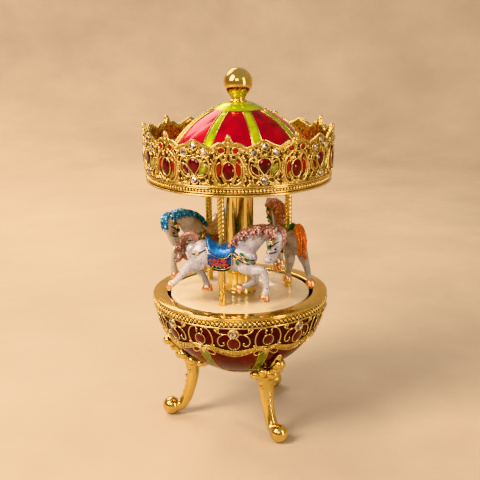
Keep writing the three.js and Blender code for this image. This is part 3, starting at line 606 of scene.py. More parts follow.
def bowl():
    outside = [(bowl_radius(z), z) for z in quarter(BOWL_DEPTH, 40, range(41))]
    inside = [(bowl_radius(z, -WALL), z) for z in quarter(BOWL_DEPTH - WALL, 20, range(20, 0, -1))]
    profile = [(12.96, 27.83), *(p for p in outside if p[0] > 13.2), (39.2, 62.4), *(p
        for p in [(37.6, 62.4)] + inside if p[0] > 13.2), (12.96, 29.5)]
    b, ribs, wires = Builder(), Builder(), Builder()
    lathe(b, profile, 128)
    b.piece("egg_bowl", BOWL_RED, "base", "red_enamel", ("bowl_shell",))
    low, high, steps = 28.4, 47.5, 26
    heights = [low + (high - low) * i / steps for i in range(steps + 1)]
    for k in range(8):
        rib(ribs, wires, Skin(bowl_radius), RIB_AT + EIGHTH * k, heights,
            lambda z: 1.0 + 1.35 * max(0, (z - 28) / 20) ** 0.8, lambda s: 0.09, -0.3, 0,
            radius=0.17, lift=0.08, steps=3, sides=6)
    ribs.piece("egg_green_ribs", OLIVE, "base", "red_enamel")
    wires.piece("egg_rib_wires", GOLD_WIRE, "base", "gold")


def bowl_band():
    ground, wires, stones, clear, strip = (Builder() for _ in range(5))
    segments, rows, top = 256, 12, 59.8
    face, back = Skin(lambda z: bowl_radius(z, 0.4)), Skin(lambda z: bowl_radius(z, 0.05))
    rings = []
    for k in range(segments):
        theta = 360 * k / segments
        low = garland_low(theta) + 0.35
        rings.append([face.frame(theta, low + (top - low) * i / rows)[0] for i in range(rows + 1)]
            + [back.frame(theta, z)[0] for z in (top, low)])
    loft(ground, rings, True, True)
    ground.piece("band_burgundy_ground", BURGUNDY, "base", "red_enamel", ("bowl_filigree_band",))
    for k in range(8):
        cabochon_motif(wires, stones, clear, CABOCHON_AT + EIGHTH * k)
        medallion_motif(wires, stones, MEDALLION_AT + EIGHTH * k)
    garland(strip, wires)
    wires.piece("band_gold_wires", GOLD_WIRE, "base", "gold")
    strip.piece("band_garland", GOLD_CAST, "base", "gold")
    stones.piece("band_red_stones", RUBY, "base", "red_enamel", smooth=False)
    clear.piece("band_crystals", CRYSTAL, "base", "steel", smooth=False)


def garland_low(theta):
    """Height of the band's scalloped lower edge."""
    half = EIGHTH / 2
    turn = (theta - CABOCHON_AT + half) % EIGHTH - half
    x = abs(turn) / half
    return 44.2 + 3.5 * min(1.0, x / 0.72) ** 1.5 - 0.5 * max(0.0, x - 0.72) / 0.28


def garland_width(theta):
    return 3.3 - 1.2 * min(1.0, abs((theta + 27) % EIGHTH - EIGHTH / 2) / 16)


def garland(strip, wires):
    segments, beads = 720, 240
    rings = []
    for k in range(segments):
        theta = 360 * k / segments
        low, w = garland_low(theta), garland_width(theta)
        ripple = 0.16 * math.sin(math.radians(theta) * 96)
        section = ((0, -0.3), (0.02, 0.12), (0.3, 0.35 + ripple), (0.6, 0.35 - ripple),
            (0.98, 0.12), (1, -0.3))
        rings.append([BOWL.frame(theta, low + w * share, lift)[0] for share, lift in section])
    loft(strip, rings, True, True)
    for k in range(beads):
        theta = 360 / beads * k
        share = 0.34 if k % 2 else 0.68
        BOWL.bead(strip, theta, 0, garland_low(theta) + garland_width(theta) * share, 0.42, 0.35, 7,
            5)
    for share, radius in ((0.0, 0.26), (1.0, 0.24)):
        spots = [BOWL.frame(theta, garland_low(theta) + garland_width(theta) * share, 0.2)
            for theta in range(360)]
        tube(wires, [spot[0] for spot in spots], radius, [spot[3] for spot in spots], 7,
            closed=True)


def cabochon_motif(wires, stones, clear, theta):
    z0 = 51.6
    place = BOWL.frame(theta, z0, 0.15)
    stone(stones, place, ellipse(2.4, 3.0, 20), 0.75, CABOCHON)
    bezel(wires, place, ellipse(2.65, 3.25, 28), 0.28, 0.2)
    cut_crystal(clear, wires, BOWL.frame(theta, z0 + 4.9, 0.3), 1.75)
    bezel(wires, BOWL.frame(theta, z0 + 4.9, 0.1), ellipse(2.3, 2.25, 24), 0.3, 0.1)
    BOWL.mirrored(wires, theta, z0, ((((1.9, 4.5), (4.0, 4.7), (6.2, 3.3), (7.0, 1.0), (6.3, -1.0),
        (5.0, -1.4), (4.1, -0.6), (4.3, 0.3)), 0.34, 0.22, 0.7),
        (((8.6, 6.6), (7.5, 5.6), (6.2, 5.0), (4.4, 4.75)), 0.3, 0.2, 0.6),
        (((8.6, 6.6), (7.6, 7.0), (6.6, 6.3), (6.5, 5.2)), 0.26, 0.2)), ((4.35, 0.25, 0.48, 0.25),
        (6.6, 7.0, 0.6, 0.2), (7.7, 6.1, 0.5, 0.2), (8.8, -1.4, 0.55, 0.25)))


def medallion_motif(wires, stones, theta):
    z0 = 53.2
    place = BOWL.frame(theta, z0 - 0.2, 0.1)
    bezel(wires, place, ellipse(2.3, 2.75, 28), 0.27, 0.2)
    stone(stones, place, ellipse(2.05, 2.5, 20), 0.7, CABOCHON)
    bow = ((0.5, -5.0), (2.4, -4.9), (5.0, -6.0), (5.3, -7.7), (3.9, -8.2), (2.0, -7.0),
        (0.5, -5.4))
    BOWL.mirrored(wires, theta, z0, ((((0.9, 4.6), (1.5, 3.6), (1.1, 2.7)), 0.28, 0.22),
        (((1.1, 4.9), (2.4, 5.6), (4.4, 4.6), (5.6, 1.8), (5.6, -1.2), (4.5, -3.6), (2.9, -4.6),
        (1.2, -5.0)), 0.36, 0.24, 0.75), (bow, 0.3, 0.42, None, 6)), ((1.15, 4.5, 0.6, 0.25),
        (1.3, -3.9, 0.42, 0.25), (3.4, 5.9, 0.4, 0.2)))
    stone(wires, BOWL.frame(theta, z0 - 6.4, 0.3), leaf(2.4, 0.95, 0), 0.45)
    BOWL.bead(stones, theta, 0, z0 - 4.2, 0.5, 0.3)


def rim():
    turned("rim_polished_ring", [(34.0, 61.2), (34.0, 63.6), (34.15, 63.92), (34.5, 64.0),
        (40.0, 64.0), (40.45, 63.85), (40.62, 63.4), (40.3, 63.0), (39.6, 62.8), (39.6, 62.45),
        (38.0, 62.45), (35.0, 62.45), (35.0, 61.2)], GOLD, "base", "gold", ("rim_ring",),
        segments=160)
    band, skin = Builder(), Skin(lambda z: 39.9)
    for z, r in ((59.3, 0.42), (62.7, 0.3)):
        ring_wire(band, 40.05, z, r, sides=8)
    beads = 124
    for k in range(beads):
        theta = 360 * k / beads
        skin.bead(band, theta, 0, 61.05, 0.82, 0.0, 9, 7)
        for x, z in ((1.0, 61.95), (1.0, 60.15)):
            skin.bead(band, theta, x, z, 0.45, 0.05, 7, 5)
    band.piece("rim_beaded_edge", GOLD_WIRE, "base", "gold")
    ground = Builder()
    # dark gold ground behind the beads: painted shade between them
    lathe(ground, [(39.25, 59.2), (39.7, 59.2), (39.7, 62.9), (39.25, 62.9)], 160)
    ground.piece("rim_edge_shade_ground", GOLD_SHADE, "base", "gold")


bowl()
bowl_band()
rim()


# ---------------------------------------------------------------- turntable, column and poles
def turntable():
    turned("turntable_top", [(ROD, 61.4), (32.2, 61.4), (32.35, 61.6), (32.35, 62.9),
        (32.15, 63.25), (31.8, DISC_TOP), (ROD, DISC_TOP)], PEARL, "carousel", "pearl_disc",
        ("turntable_disc",), segments=128)
    turned("column_polished", [(5.0, DISC_TOP), (6.75, DISC_TOP), (6.85, 63.6), (6.75, 63.85),
        (6.5, 64.0), (6.4, 64.2), (6.4, 66.5), (6.4, 114.5), (6.7, 115.4), (7.3, 116.2),
        (7.5, CEILING), (5.0, CEILING)], GOLD, "carousel", "gold", ("central_column",))


def poles():
    sides, steps, starts, twist = 40, 240, 5, 0.66
    for name in POLE_AZIMUTHS:
        rings = []
        for i in range(steps + 1):
            z = DISC_TOP + (CEILING - DISC_TOP) * i / steps
            rope = min(1.0, max(0.0, (z - 79) / 3))  # plain below the horse, twisted above
            rings.append([])
            for a in circle(sides):
                groove = 0.28 * (1 - abs(math.cos(starts / 2 * (a - z * twist))) ** 0.7)
                r = 1.58 - rope * groove - (1 - rope) * (0.05 + 0.05 * math.cos(3 * a + z))
                rings[-1].append(pole_centre(name) + Vector((r * math.cos(a), r * math.sin(a), z)))
        b = Builder()
        loft(b, rings)
        b.piece("pole_twisted_" + name, GOLD, "carousel", "gold", ("pole_" + name,))


turntable()
poles()


# ---------------------------------------------------------------- crown, dome and finial
def crown_edge(theta):
    """Height of the crown's top edge: a scrolled pinnacle and a gable by turns."""
    base, along, half = 136.9, 0.74, PITCH / 2  # along is millimetres to a degree
    turn = abs((theta - PINNACLE_AT + half) % PITCH - half)
    x = turn * along
    if x < 7.3:
        shoulder = 2.0 * math.exp(-((x - 3.6) / 2.0) ** 2)
        spire = 4.2 * math.exp(-(x / 1.5) ** 2)
        return base + max(shoulder, spire) + 0.9 * math.exp(-(x / 3.4) ** 2)
    return base + 3.1 * max(0.0, 1 - abs(turn - half) * along / 7.3)


PINNACLE_PITS = ((0, 122.9, 0.75), (7.3, 133.6, 0.7), (7.3, 122.3, 0.65), (6.9, 126.2, 0.55),
    (2.6, 122.2, 0.4), (5.0, 134.2, 0.5), (1.4, 134.5, 0.45), (4.2, 131.6, 0.7), (4.0, 124.0, 0.8),
    (7.4, 131.0, 0.8), (7.2, 124.4, 0.7), (7.6, 128.2, 0.5), (3.2, 122.9, 0.6), (2.0, 133.3, 0.5),
    (6.2, 134.9, 0.5), (1.5, 136.4, 0.5))
GABLE_PITS = ((1.9, 126.6, 0.7), (5.4, 130.0, 0.8), (2.2, 132.9, 0.6), (5.0, 125.4, 0.75),
    (7.2, 132.4, 0.6), (6.8, 123.0, 0.6), (4.4, 132.2, 0.5), (1.6, 135.9, 0.5), (1.2, 121.9, 0.5),
    (0, 134.6, 0.7), (3.4, 123.3, 0.8), (5.4, 124.2, 0.5), (2.5, 134.0, 0.4), (3.2, 136.6, 0.4),
    (6.4, 129.6, 0.45), (2.2, 121.9, 0.4))
CELL = 4  # degrees to a cell of the pits' index


def crown_pits():
    """Openings of the casting, sunk as shallow pits painted dark as painted shade, as (angle,
    height, radius), by cells round the crown.
    """
    cells = {}
    for k in range(9):
        for at, pits in ((PINNACLE_AT, PINNACLE_PITS), (GABLE_AT, GABLE_PITS)):
            for x, z, r in pits:
                for side in SIDES:
                    theta = (at + PITCH * k + math.degrees(side * x / CROWN_FACE)) % 360
                    cells.setdefault(int(theta // CELL), []).append((theta, z, r))
    return cells


def crown_plate():
    b = Builder()
    segments, rows, inner_rows = 900, 44, 22
    cells, verts, shade_marks = crown_pits(), [], b.shade_marks
    for k in range(segments):
        theta = 360 * k / segments
        top = crown_edge(theta)
        slot = int(theta // CELL)
        near = [p for s in (slot - 1, slot, slot + 1) for p in cells.get(s % (360 // CELL), [])]
        for i in range(rows + 1):
            z = CROWN_LOW + (top - CROWN_LOW) * i / rows
            depth = 0.0
            for t, pz, r in near:
                away = abs((theta - t + 180) % 360 - 180)
                d = math.hypot(math.radians(away) * CROWN_FACE, z - pz)
                depth = max(depth, min(1.0, max(0.0, 1.7 - d / r)))
            grain = 0.16 * math.sin(theta * 5.1) * math.sin(z * 2.3)
            grain += 0.1 * math.sin(theta * 9.0 + z * 3.1)
            # each pit is sunk and marked to be painted dark: painted shade in the openings
            shade_marks[len(verts)] = depth
            verts.append(CROWN.frame(theta, z, grain * (1 - depth) - 0.9 * depth)[0])
        for i in range(inner_rows + 1):
            z = top + (CROWN_LOW - top) * i / inner_rows
            depth = shade_marks[len(verts) - 1 - i - round(i * rows / inner_rows)]
            grain = 0.07 * math.sin(theta * 3.7 + z) * math.sin(z * 1.9)
            edge = 0.3 if i == 0 else 0.0
            # the inner face gets half the painted shade of the pits in front of it
            shade_marks[len(verts)] = max(0.1, depth * 0.5)
            verts.append(CROWN.frame(theta, z, -1.5 + edge + grain * (1 - depth) + 0.25 * depth)[0])
    size = rows + inner_rows + 2
    loft(b, [verts[k * size:(k + 1) * size] for k in range(segments)], True, True)
    b.piece("crown_cast_band", GOLD_CAST, "carousel", "gold", ("crown_filigree_band",))


def pinnacle_motif(theta, wires, stones, scarlet):
    z0 = 127.7
    place = CROWN.frame(theta, z0, 0.45)
    stone(stones, place, ellipse(2.35, 3.5, 20), 0.8)
    bezel(wires, place, ellipse(2.65, 3.8, 30), 0.34, 0.1)
    CROWN.mirrored(wires, theta, z0, ((((0.5, 6.6), (2.6, 6.6), (4.9, 4.7), (6.0, 1.6), (6.0, -1.6),
        (4.9, -4.6), (3.0, -5.8), (1.2, -5.4)), 0.52, 0.35, 0.75),
        (((3.3, 3.6), (4.9, 2.2), (5.15, -0.4), (4.6, -2.9), (3.4, -4.1)), 0.28, 0.4)),
        ((1.0, -5.3, 0.62, 0.45), (1.2, 6.0, 0.55, 0.5), (7.0, 0.6, 0.5, 0.2)))
    CROWN.mirrored(wires, theta, 0, ((((7.3, 137.0), (5.6, 138.1), (3.9, 138.9), (2.2, 138.9),
        (1.15, 139.9), (0.9, 141.2)), 0.42, -0.2), (((6.9, 134.8), (5.4, 135.6), (4.6, 137.2)), 0.3,
        0.25)), ((5.9, 136.0, 0.62, 0.25), (4.6, 134.6, 0.42, 0.3)))
    for side in SIDES:
        stone(scarlet, CROWN.at(theta, side * 4.0, z0 + 0.9, 0.15), leaf(3.6, 1.25, side * 2), 0.25)
        stone(scarlet, CROWN.at(theta, side * 2.9, 136.1, 0.35), ellipse(1.2, 1.05, 14), 0.3)
        bezel(wires, CROWN.at(theta, side * 2.9, 136.1, 0.3), ellipse(1.5, 1.35, 18), 0.26, 0.15)
    stone(stones, CROWN.frame(theta, z0 + 5.2, 0.35), leaf(1.35, 0.55, 0), 0.35)
    CROWN.bead(wires, theta, 0, 141.35, 1.12, -0.15, 12, 8)
    for z, radius, lift in ((139.2, 0.72, 0.1), (137.6, 0.62, 0.3), (z0 - 6.0, 0.62, 0.35)):
        CROWN.bead(wires, theta, 0, z, radius, lift)


def gable_motif(theta, wires, stones, green, clear):
    place = CROWN.frame(theta, 129.9, 0.45)
    shape = pear(2.65, 2.7, 3.9)
    stone(stones, place, shape, 0.85)
    bezel(wires, place, [(x * 1.12, y * 1.09) for x, y in shape], 0.32, 0.1)
    CROWN.mirrored(wires, theta, 0, ((((1.6, 124.9), (3.4, 124.6), (5.6, 126.2), (6.6, 129.0),
        (6.1, 131.8), (4.6, 133.0), (3.2, 132.2), (3.3, 131.2)), 0.44, 0.3, 0.7),
        (((0.2, 140.0), (1.6, 139.3), (4.4, 137.9), (7.4, 136.9)), 0.42, -0.1),
        (((1.2, 133.4), (3.2, 133.3), (5.2, 132.9), (7.0, 133.6)), 0.28, 0.25),
        (((1.9, 123.4), (3.4, 122.2), (5.4, 122.4), (6.8, 121.6)), 0.36, 0.25),
        (((7.6, 124.0), (8.2, 126.0), (7.4, 128.2), (8.3, 130.4), (7.5, 132.4)), 0.38, 0.25)),
        ((3.35, 131.3, 0.5, 0.35), (2.3, 135.8, 0.5, 0.25), (6.0, 123.6, 0.6, 0.25),
        (7.3, 126.4, 0.55, 0.25), (7.4, 130.4, 0.5, 0.25), (7.2, 135.0, 0.6, 0.2),
        (2.4, 121.9, 0.5, 0.25)))
    for side, target in zip(SIDES, (stones, green)):
        place = CROWN.at(theta, side * 3.9, 127.9, 0.3)
        stone(target, place, leaf(2.5, 1.0, side * -33), 0.4)
        bezel(wires, place, leaf(2.85, 1.3, side * -33, 24), 0.25, 0.05)
        cut_crystal(clear, wires, CROWN.at(theta, side * 4.6, 135.0, 0.3), 1.4)
    cut_crystal(clear, wires, CROWN.frame(theta, 137.4, 0.3), 1.4)
    cut_crystal(clear, wires, CROWN.frame(theta, 123.6, 0.4), 1.55)
    CROWN.bead(wires, theta, 0, 133.9, 0.5, 0.3)


def crown():
    crown_plate()
    wires, stones, scarlet, green, clear = (Builder() for _ in range(5))
    for k in range(9):
        pinnacle_motif(PINNACLE_AT + PITCH * k, wires, stones, scarlet)
        gable_motif(GABLE_AT + PITCH * k, wires, stones, green, clear)
    wires.piece("crown_gold_scrolls", GOLD_WIRE, "carousel", "gold")
    stones.piece("crown_red_stones", RUBY, "carousel", "red_enamel", smooth=False)
    scarlet.piece("crown_scarlet_enamel", SCARLET, "carousel", "red_enamel")
    green.piece("crown_green_stones", PERIDOT, "carousel", "red_enamel", smooth=False)
    clear.piece("crown_crystals", CRYSTAL, "carousel", "steel", smooth=False)


def crown_base():
    # dark gold ground behind the beaded border: painted shade between the beads
    turned("crown_border_shade_ground", [(39.6, 117.3), (40.7, 117.3), (40.7, 120.9), (39.6, 120.9)],
        GOLD_SHADE, "carousel", "gold", segments=180)
    b = Builder()
    lathe(b, [(39.6, 116.55), (40.9, 116.55), (41.55, 116.8), (41.75, 117.15), (41.5, 117.5),
        (40.9, 117.7), (39.6, 117.7)], 180)
    face = 41.0
    skin = Skin(lambda z: face)
    for z, r, lift in ((118.2, 0.24, 0.1), (120.0, 0.26, 0.15), (120.85, 0.42, 0.55)):
        ring_wire(b, face + lift, z, r)
    beads = 172
    for k in range(beads):
        skin.bead(b, 360 * k / beads, 0, 119.1, 0.68, 0.12, 9, 6)
    b.piece("crown_beaded_border", GOLD_WIRE, "carousel", "gold", ("crown_base_ring",))
    turned("canopy_soffit", [(ROD, CEILING), (12, CEILING), (12.4, 116.7), (13.0, 116.7),
        (13.4, CEILING), (30, CEILING), (30.4, 116.7), (31, 116.7), (31.4, CEILING), (39.2, CEILING),
        (39.2, 118.2), (ROD, 118.2)], GOLD_PALE, "carousel", "gold", ("canopy_ceiling",))


def dome():
    b, ribs, wires = Builder(), Builder(), Builder()
    heights = [118.2, 120, DOME_AXIS] + [DOME_AXIS + DOME_RISE * math.sin(math.radians(a))
        for a in range(4, 73, 4)]
    inside = [(dome_radius(z, -1.2), z) for z in heights if z < 147]
    lathe(b, [(dome_radius(z), z) for z in heights] + [(7.4, 150.0), (2.0, 150.6), (2.0, 149.2)]
        + inside[::-1], 144)
    b.piece("dome_ruby_panels", RED, "carousel", "red_enamel", ("canopy_dome",))
    steps = [118.6, 121, 124] + [125 + i * 1.2 for i in range(20)]
    for k in range(8):
        rib(ribs, wires, DOME, RIB_AT + EIGHTH * k, steps,
            lambda z: 1.0 + 1.15 * min(1.0, dome_radius(z) / 27),
            lambda s: 0.12 + 0.08 * (1 - s * s), -0.4, 0.1, radius=0.26, lift=0.15, steps=4)
    lathe(ribs, [(11.4, 147.4), (11.0, 148.15), (9.4, 149.2), (7.4, 150.25), (5.2, 150.95),
        (ROD, 150.95), (ROD, 150.3), (7.0, 149.6), (10.8, 147.4)])
    ring_wire(wires, 11.45, 147.45, 0.26, 120)
    ribs.piece("dome_lime_ribs", LIME, "carousel", "red_enamel")
    wires.piece("dome_rib_wires", GOLD_WIRE, "carousel", "gold")


def finial():
    turned("finial_cup_polished", [(1.7, 150.9), (3.7, 150.9), (3.85, 151.15), (3.8, 151.6),
        (3.5, 151.85), (3.1, 152.0), (3.0, 152.35), (3.15, 152.6), (3.35, 152.75), (3.2, 152.95),
        (3.45, 153.4), (4.0, 154.2), (4.5, 155.2), (4.75, 156.2), (4.7, 156.75), (4.4, 156.95),
        (1.7, 155.0)], GOLD, "carousel", "gold", ("finial_cup",), segments=72)
    b = Builder()
    ball(b, (0, 0, 159.4), 6.4, 56, 36)
    b.piece("finial_globe", GOLD, "carousel", "gold", ("finial_ball",))


crown()
crown_base()
dome()
finial()


# ---------------------------------------------------------------- cast forms: legs and horses
def cast(b, name, voxel, smooth):
    """Melts overlapping closed forms into one smooth casting."""
    obj = bpy.data.objects.new(name + "_raw", b.mesh(name + "_raw"))
    bpy.context.scene.collection.objects.link(obj)
    remesh = obj.modifiers.new("remesh", "REMESH")
    remesh.mode, remesh.voxel_size = "VOXEL", voxel * MM
    soften = obj.modifiers.new("soften", "SMOOTH")
    soften.factor, soften.iterations = 0.5, smooth
    graph = bpy.context.evaluated_depsgraph_get()
    mesh = bpy.data.meshes.new_from_object(obj.evaluated_get(graph))
    mesh.name = name
    bpy.data.objects.remove(obj)
    return mesh


def bar(b, y, rows, sides=12):
    """A limb that stays at one y, through rows of (x, z, half width, half depth)."""
    limb(b, [(x, y, z, width, depth) for x, z, width, depth in rows], sides)


def limb(b, rows, sides=12):
    """A rounded bar through rows of (x, y, z, half width, half depth), with rounded ends."""
    places = smooth_line([row[:3] for row in rows], 4)
    widths = smooth_line([(row[3], row[4], 0) for row in rows], 4)
    rings = []
    last = len(places) - 1
    for i, p in enumerate(places):
        along = (places[min(i + 1, last)] - places[max(i - 1, 0)]).normalized()
        side = (Y - along * Y.dot(along)).normalized()
        up = along.cross(side)
        width, depth = max(0.1, widths[i][0]), max(0.1, widths[i][1])
        rings.append([p + side * (width * math.cos(a)) + up * (depth * math.sin(a))
            for a in circle(sides)])
    loft(b, rings)
    for row in (rows[0], rows[-1]):
        ball(b, row[:3], 1.0, 8, 6, (row[4], row[3], row[4]))


def legs():
    b = Builder()
    bar(b, 0, [(34.0, 4.2, 2.9, 2.9), (31.4, 3.9, 2.8, 2.7), (28.7, 5.2, 2.9, 2.7),
        (26.6, 8.4, 2.7, 2.6), (25.0, 12.6, 2.9, 2.6), (23.7, 17.6, 3.3, 2.75),
        (23.1, 22.4, 3.8, 3.0), (23.6, 26.4, 4.2, 3.2), (25.4, 30.2, 3.2, 2.6)])
    bar(b, 0, [(25.0, 29.6, 3.0, 2.6), (28.0, 32.0, 2.5, 2.2), (30.8, 35.2, 2.0, 1.7),
        (33.6, 38.0, 1.7, 1.5)])
    bar(b, 0, [(25.4, 29.6, 2.9, 2.9), (24.0, 31.8, 2.8, 2.8), (22.6, 33.6, 2.7, 2.7)], 14)
    bar(b, 0, [(25.4, 31.6, 1.9, 1.9), (28.6, 34.8, 1.8, 1.8), (32.0, 39.2, 1.6, 1.7),
        (34.0, 42.0, 1.2, 1.4)])
    bar(b, 0, [(24.6, 29.4, 3.1, 2.6), (21.2, 28.2, 2.3, 2.2), (18.0, 26.6, 1.6, 1.6)])
    for x, z, r in ((34.8, 38.4, 2.3), (32.0, 35.0, 1.9), (29.0, 31.4, 2.5), (17.8, 26.6, 2.2),
            (20.8, 28.2, 1.9)):
        ball(b, (x, 0, z), r, 14, 10, (1, 1.15, 1))
    for side in SIDES:
        ball(b, (27.2, side * 4.2, 32.6), 2.25, 14, 9)
        ball(b, (26.0, side * 2.6, 31.0), 2.1, 12, 8)
        ball(b, (23.2, side * 5.6, 30.0), 2.3, 14, 9)
        ball(b, (19.4, side * 4.6, 28.2), 1.9, 12, 8)
        ball(b, (23.6, side * 3.2, 28.8), 2.3, 12, 8)
        ball(b, (24.4, side * 3.1, 24.2), 1.2, 10, 8)
        limb(b, [(25.4, side * 1.9, 28.4, 0.7, 0.8), (24.6, side * 2.6, 22.4, 0.6, 0.7),
            (25.6, side * 2.0, 15.4, 0.5, 0.55), (27.4, side * 1.6, 9.4, 0.4, 0.45)], 8)
    ball(b, (34.0, 0, 4.25), 4.25, 32, 20)
    for i, (x, z) in enumerate(((26.6, 19.8), (26.7, 16.8), (27.3, 14.0), (28.2, 11.6))):
        ball(b, (x - 0.66, 0, z), 1.1 - 0.1 * i, 10, 8)
    mesh = cast(b, "leg_casting", 0.26, 3)
    gap = 0.32  # between the bowl and the casting
    for vertex in mesh.vertices:
        co = vertex.co
        co.z = max(co.z, 0.0)
        r, z = math.hypot(co.x, co.y) / MM, co.z / MM
        wall = bowl_radius(min(z, 61.9), gap)
        if z > 24 and 15 < r < wall and wall - r < 6:
            while z > 20 and bowl_radius(z, gap) > r:
                z -= 0.05
            co.z = z * MM
    for name, azimuth in (("left", 180), ("front_right", -60), ("back_right", 60)):
        copy = mesh.copy()
        copy.transform(Matrix.Rotation(math.radians(azimuth), 4, "Z"))
        show("cabriole_leg_" + name, copy, GOLD, "base", ("leg_" + name,))
    bpy.data.meshes.remove(mesh)


legs()


# One horse in its own frame: +X forward, the pole at x = y = 0, heights as on the carousel.
def horse_body():
    b = Builder()
    bar(b, 0, [(-13.6, 88.6, 2.6, 2.8), (-12.0, 88.0, 4.4, 5.0), (-8.4, 87.2, 5.2, 6.0),
        (-3, 86.0, 5.2, 5.7), (3, 85.5, 5.0, 5.7), (8.6, 86.0, 5.0, 6.2), (12.0, 86.4, 4.2, 5.2),
        (13.2, 86.4, 2.6, 3.0)], 18)
    bar(b, 0, [(7.6, 88.0, 3.8, 4.8), (10.4, 91.2, 3.4, 5.6), (14.4, 94.8, 3.0, 4.7),
        (18.6, 97.6, 2.6, 3.4), (22.6, 98.4, 2.2, 2.6)], 14)
    bar(b, 0, [(22.6, 97.8, 2.2, 2.5), (24.9, 96.7, 2.6, 2.9), (25.2, 94.4, 2.6, 3.1),
        (24.2, 91.7, 2.25, 2.8), (22.9, 89.2, 2.0, 2.8), (22.0, 87.0, 1.95, 2.75)], 12)
    ball(b, (22.6, 0, 93.6), 2.6, 12, 8, (1, 1.0, 1.1))
    ball(b, (21.2, 0, 86.2), 2.3, 12, 8, (1.1, 0.88, 0.9))
    for side in SIDES:
        ball(b, (24.9, side * 1.95, 95.0), 0.7, 8, 6)
        ball(b, (23.0, side * 1.3, 86.4), 0.6, 8, 6)
        limb(b, [(24.4, side * 1.5, 98.8, 0.7, 0.8), (24.9, side * 2.1, 100.4, 0.55, 0.6),
            (25.2, side * 2.4, 101.3, 0.2, 0.2)], 8)
        ball(b, (10.6, side * 2.4, 84.4), 3.1, 12, 8, (1.0, 0.8, 1.25))
        ball(b, (-10.4, side * 2.6, 86.2), 3.7, 12, 8, (1.1, 0.7, 1.3))
        ball(b, (12.6, side * 1.7, 86.6), 2.2, 10, 8)
    near, far = -2.9, 2.9
    bar(b, near, [(10.8, 82.6, 2.4, 3.1), (14.8, 81.4, 2.1, 2.6), (19.0, 81.4, 1.8, 2.0),
        (20.3, 78.2, 1.4, 1.5), (20.7, 74.6, 1.3, 1.35), (20.6, 72.2, 1.6, 1.7),
        (20.0, 70.8, 1.5, 1.6)])
    bar(b, far, [(10.4, 82.0, 2.3, 2.8), (13.0, 78.8, 1.9, 2.1), (14.4, 75.8, 1.65, 1.75),
        (12.4, 73.6, 1.35, 1.45), (9.9, 72.3, 1.25, 1.35), (8.4, 71.6, 1.5, 1.55)])
    bar(b, near, [(-9.4, 84.4, 2.7, 4.3), (-12.8, 81.4, 2.3, 3.1), (-16.0, 79.2, 1.75, 2.1),
        (-18.3, 76.6, 1.4, 1.6), (-20.4, 74.2, 1.3, 1.45), (-22.0, 73.0, 1.55, 1.6)])
    bar(b, far, [(-9.4, 84.0, 2.7, 4.1), (-11.2, 80.2, 2.2, 2.7), (-10.8, 77.6, 1.7, 1.9),
        (-9.2, 75.0, 1.35, 1.5), (-8.2, 72.8, 1.25, 1.4), (-7.9, 71.6, 1.5, 1.6)])
    return cast(b, "horse_casting", 0.3, 5)


def hooves(b):
    profile = [(2.35, -1.5), (2.45, -1.1), (1.9, 0.8), (1.6, 1.15)]
    size, sides = len(profile), 14
    for x, y, z, lean in ((19.9, -2.9, 69.7, 0.15), (7.0, 2.9, 71.0, -1.2),
            (-23.3, -2.9, 72.2, -1.0), (-7.6, 2.9, 70.5, 0.1)):
        turn = Matrix.Rotation(lean, 3, "Y")
        rings = [[Vector((x, y, z)) + turn @ Vector((r * 1.05 * math.cos(a), r * 0.9 * math.sin(a),
            h)) for r, h in profile] for a in circle(sides)]
        start = loft(b, rings, True, True, False)
        b.faces += [tuple(start + k * size for k in reversed(range(sides))), tuple(start + k * size
            + size - 1 for k in range(sides))]


def strands(b, roots, seed, radius):
    """Locks of hair: each root is a list of points, thick in the middle and pointed at the end."""
    local = random.Random(seed)
    for points in roots:
        jitter = [Vector([n + local.uniform(-0.15, 0.15) for n in p]) for p in points]
        line = smooth_line(jitter)
        last = len(line) - 1
        radii = [radius * (0.55 + 0.6 * math.sin(math.pi * min(1, i / last + 0.15) ** 0.8)) * (1
            - (i / last) ** 5 * 0.9) for i in range(last + 1)]
        normals = [Vector((0.1, 1 if points[0][1] >= 0 else -1, 0.2)).normalized()] * (last + 1)
        tube(b, line, radii, normals, 7, flat=0.8)


CREST = [(6.0, 0, 92.6), (8.4, 0, 95.6), (12.0, 0, 98.2), (16.0, 0, 99.7), (20.0, 0, 100.2),
    (23.4, 0, 99.9), (25.6, 0, 99.0)]


def mane_locks(length):
    """Wavy locks falling from the crest down both sides of the neck, and a forelock."""
    roots = []
    for i, p in enumerate(smooth_line(CREST, 4)):
        for side in SIDES:
            drop = length * (3.6 + 1.3 * math.sin(i * 1.7))
            out = 2.7 + 0.5 * math.sin(i * 2.1)
            roots.append([p + Vector(step) for step in ((0, side * 0.3, 0.1),
                (-0.9, side * 1.7, 0.4), (-1.9, side * out, -drop * 0.35), (-0.9, side
                * (out + 0.6), -drop * 0.7), (-2.0, side * (out + 0.7), -drop))])
    for side in (-1, 0, 1):
        roots.append([(x, side * y, z) for x, y, z in ((24.4, 0.7, 100.4), (27.2, 1.2, 99.4),
            (28.2, 1.5, 96.8), (27.7, 1.7, 94.2), (28.2, 1.5, 92.4))])
    return roots


def crest_curls(b):
    """Round curls standing along the top of the neck."""
    for i, p in enumerate(smooth_line(CREST, 2)):
        size = 1.25 if i % 2 else 1.0
        ball(b, p + Vector((0, 0, 0.1)), size, 10, 7, (1.0, 1.25, 0.95))
        for side in SIDES:
            ball(b, p + Vector((-0.6, side * 1.7, -0.8)), size * 0.75, 8, 6)
    for side in SIDES:
        ball(b, (28.1, side * 1.0, 94.6), 1.0, 8, 6)
        ball(b, (27.9, side * 1.2, 97.4), 1.0, 8, 6)


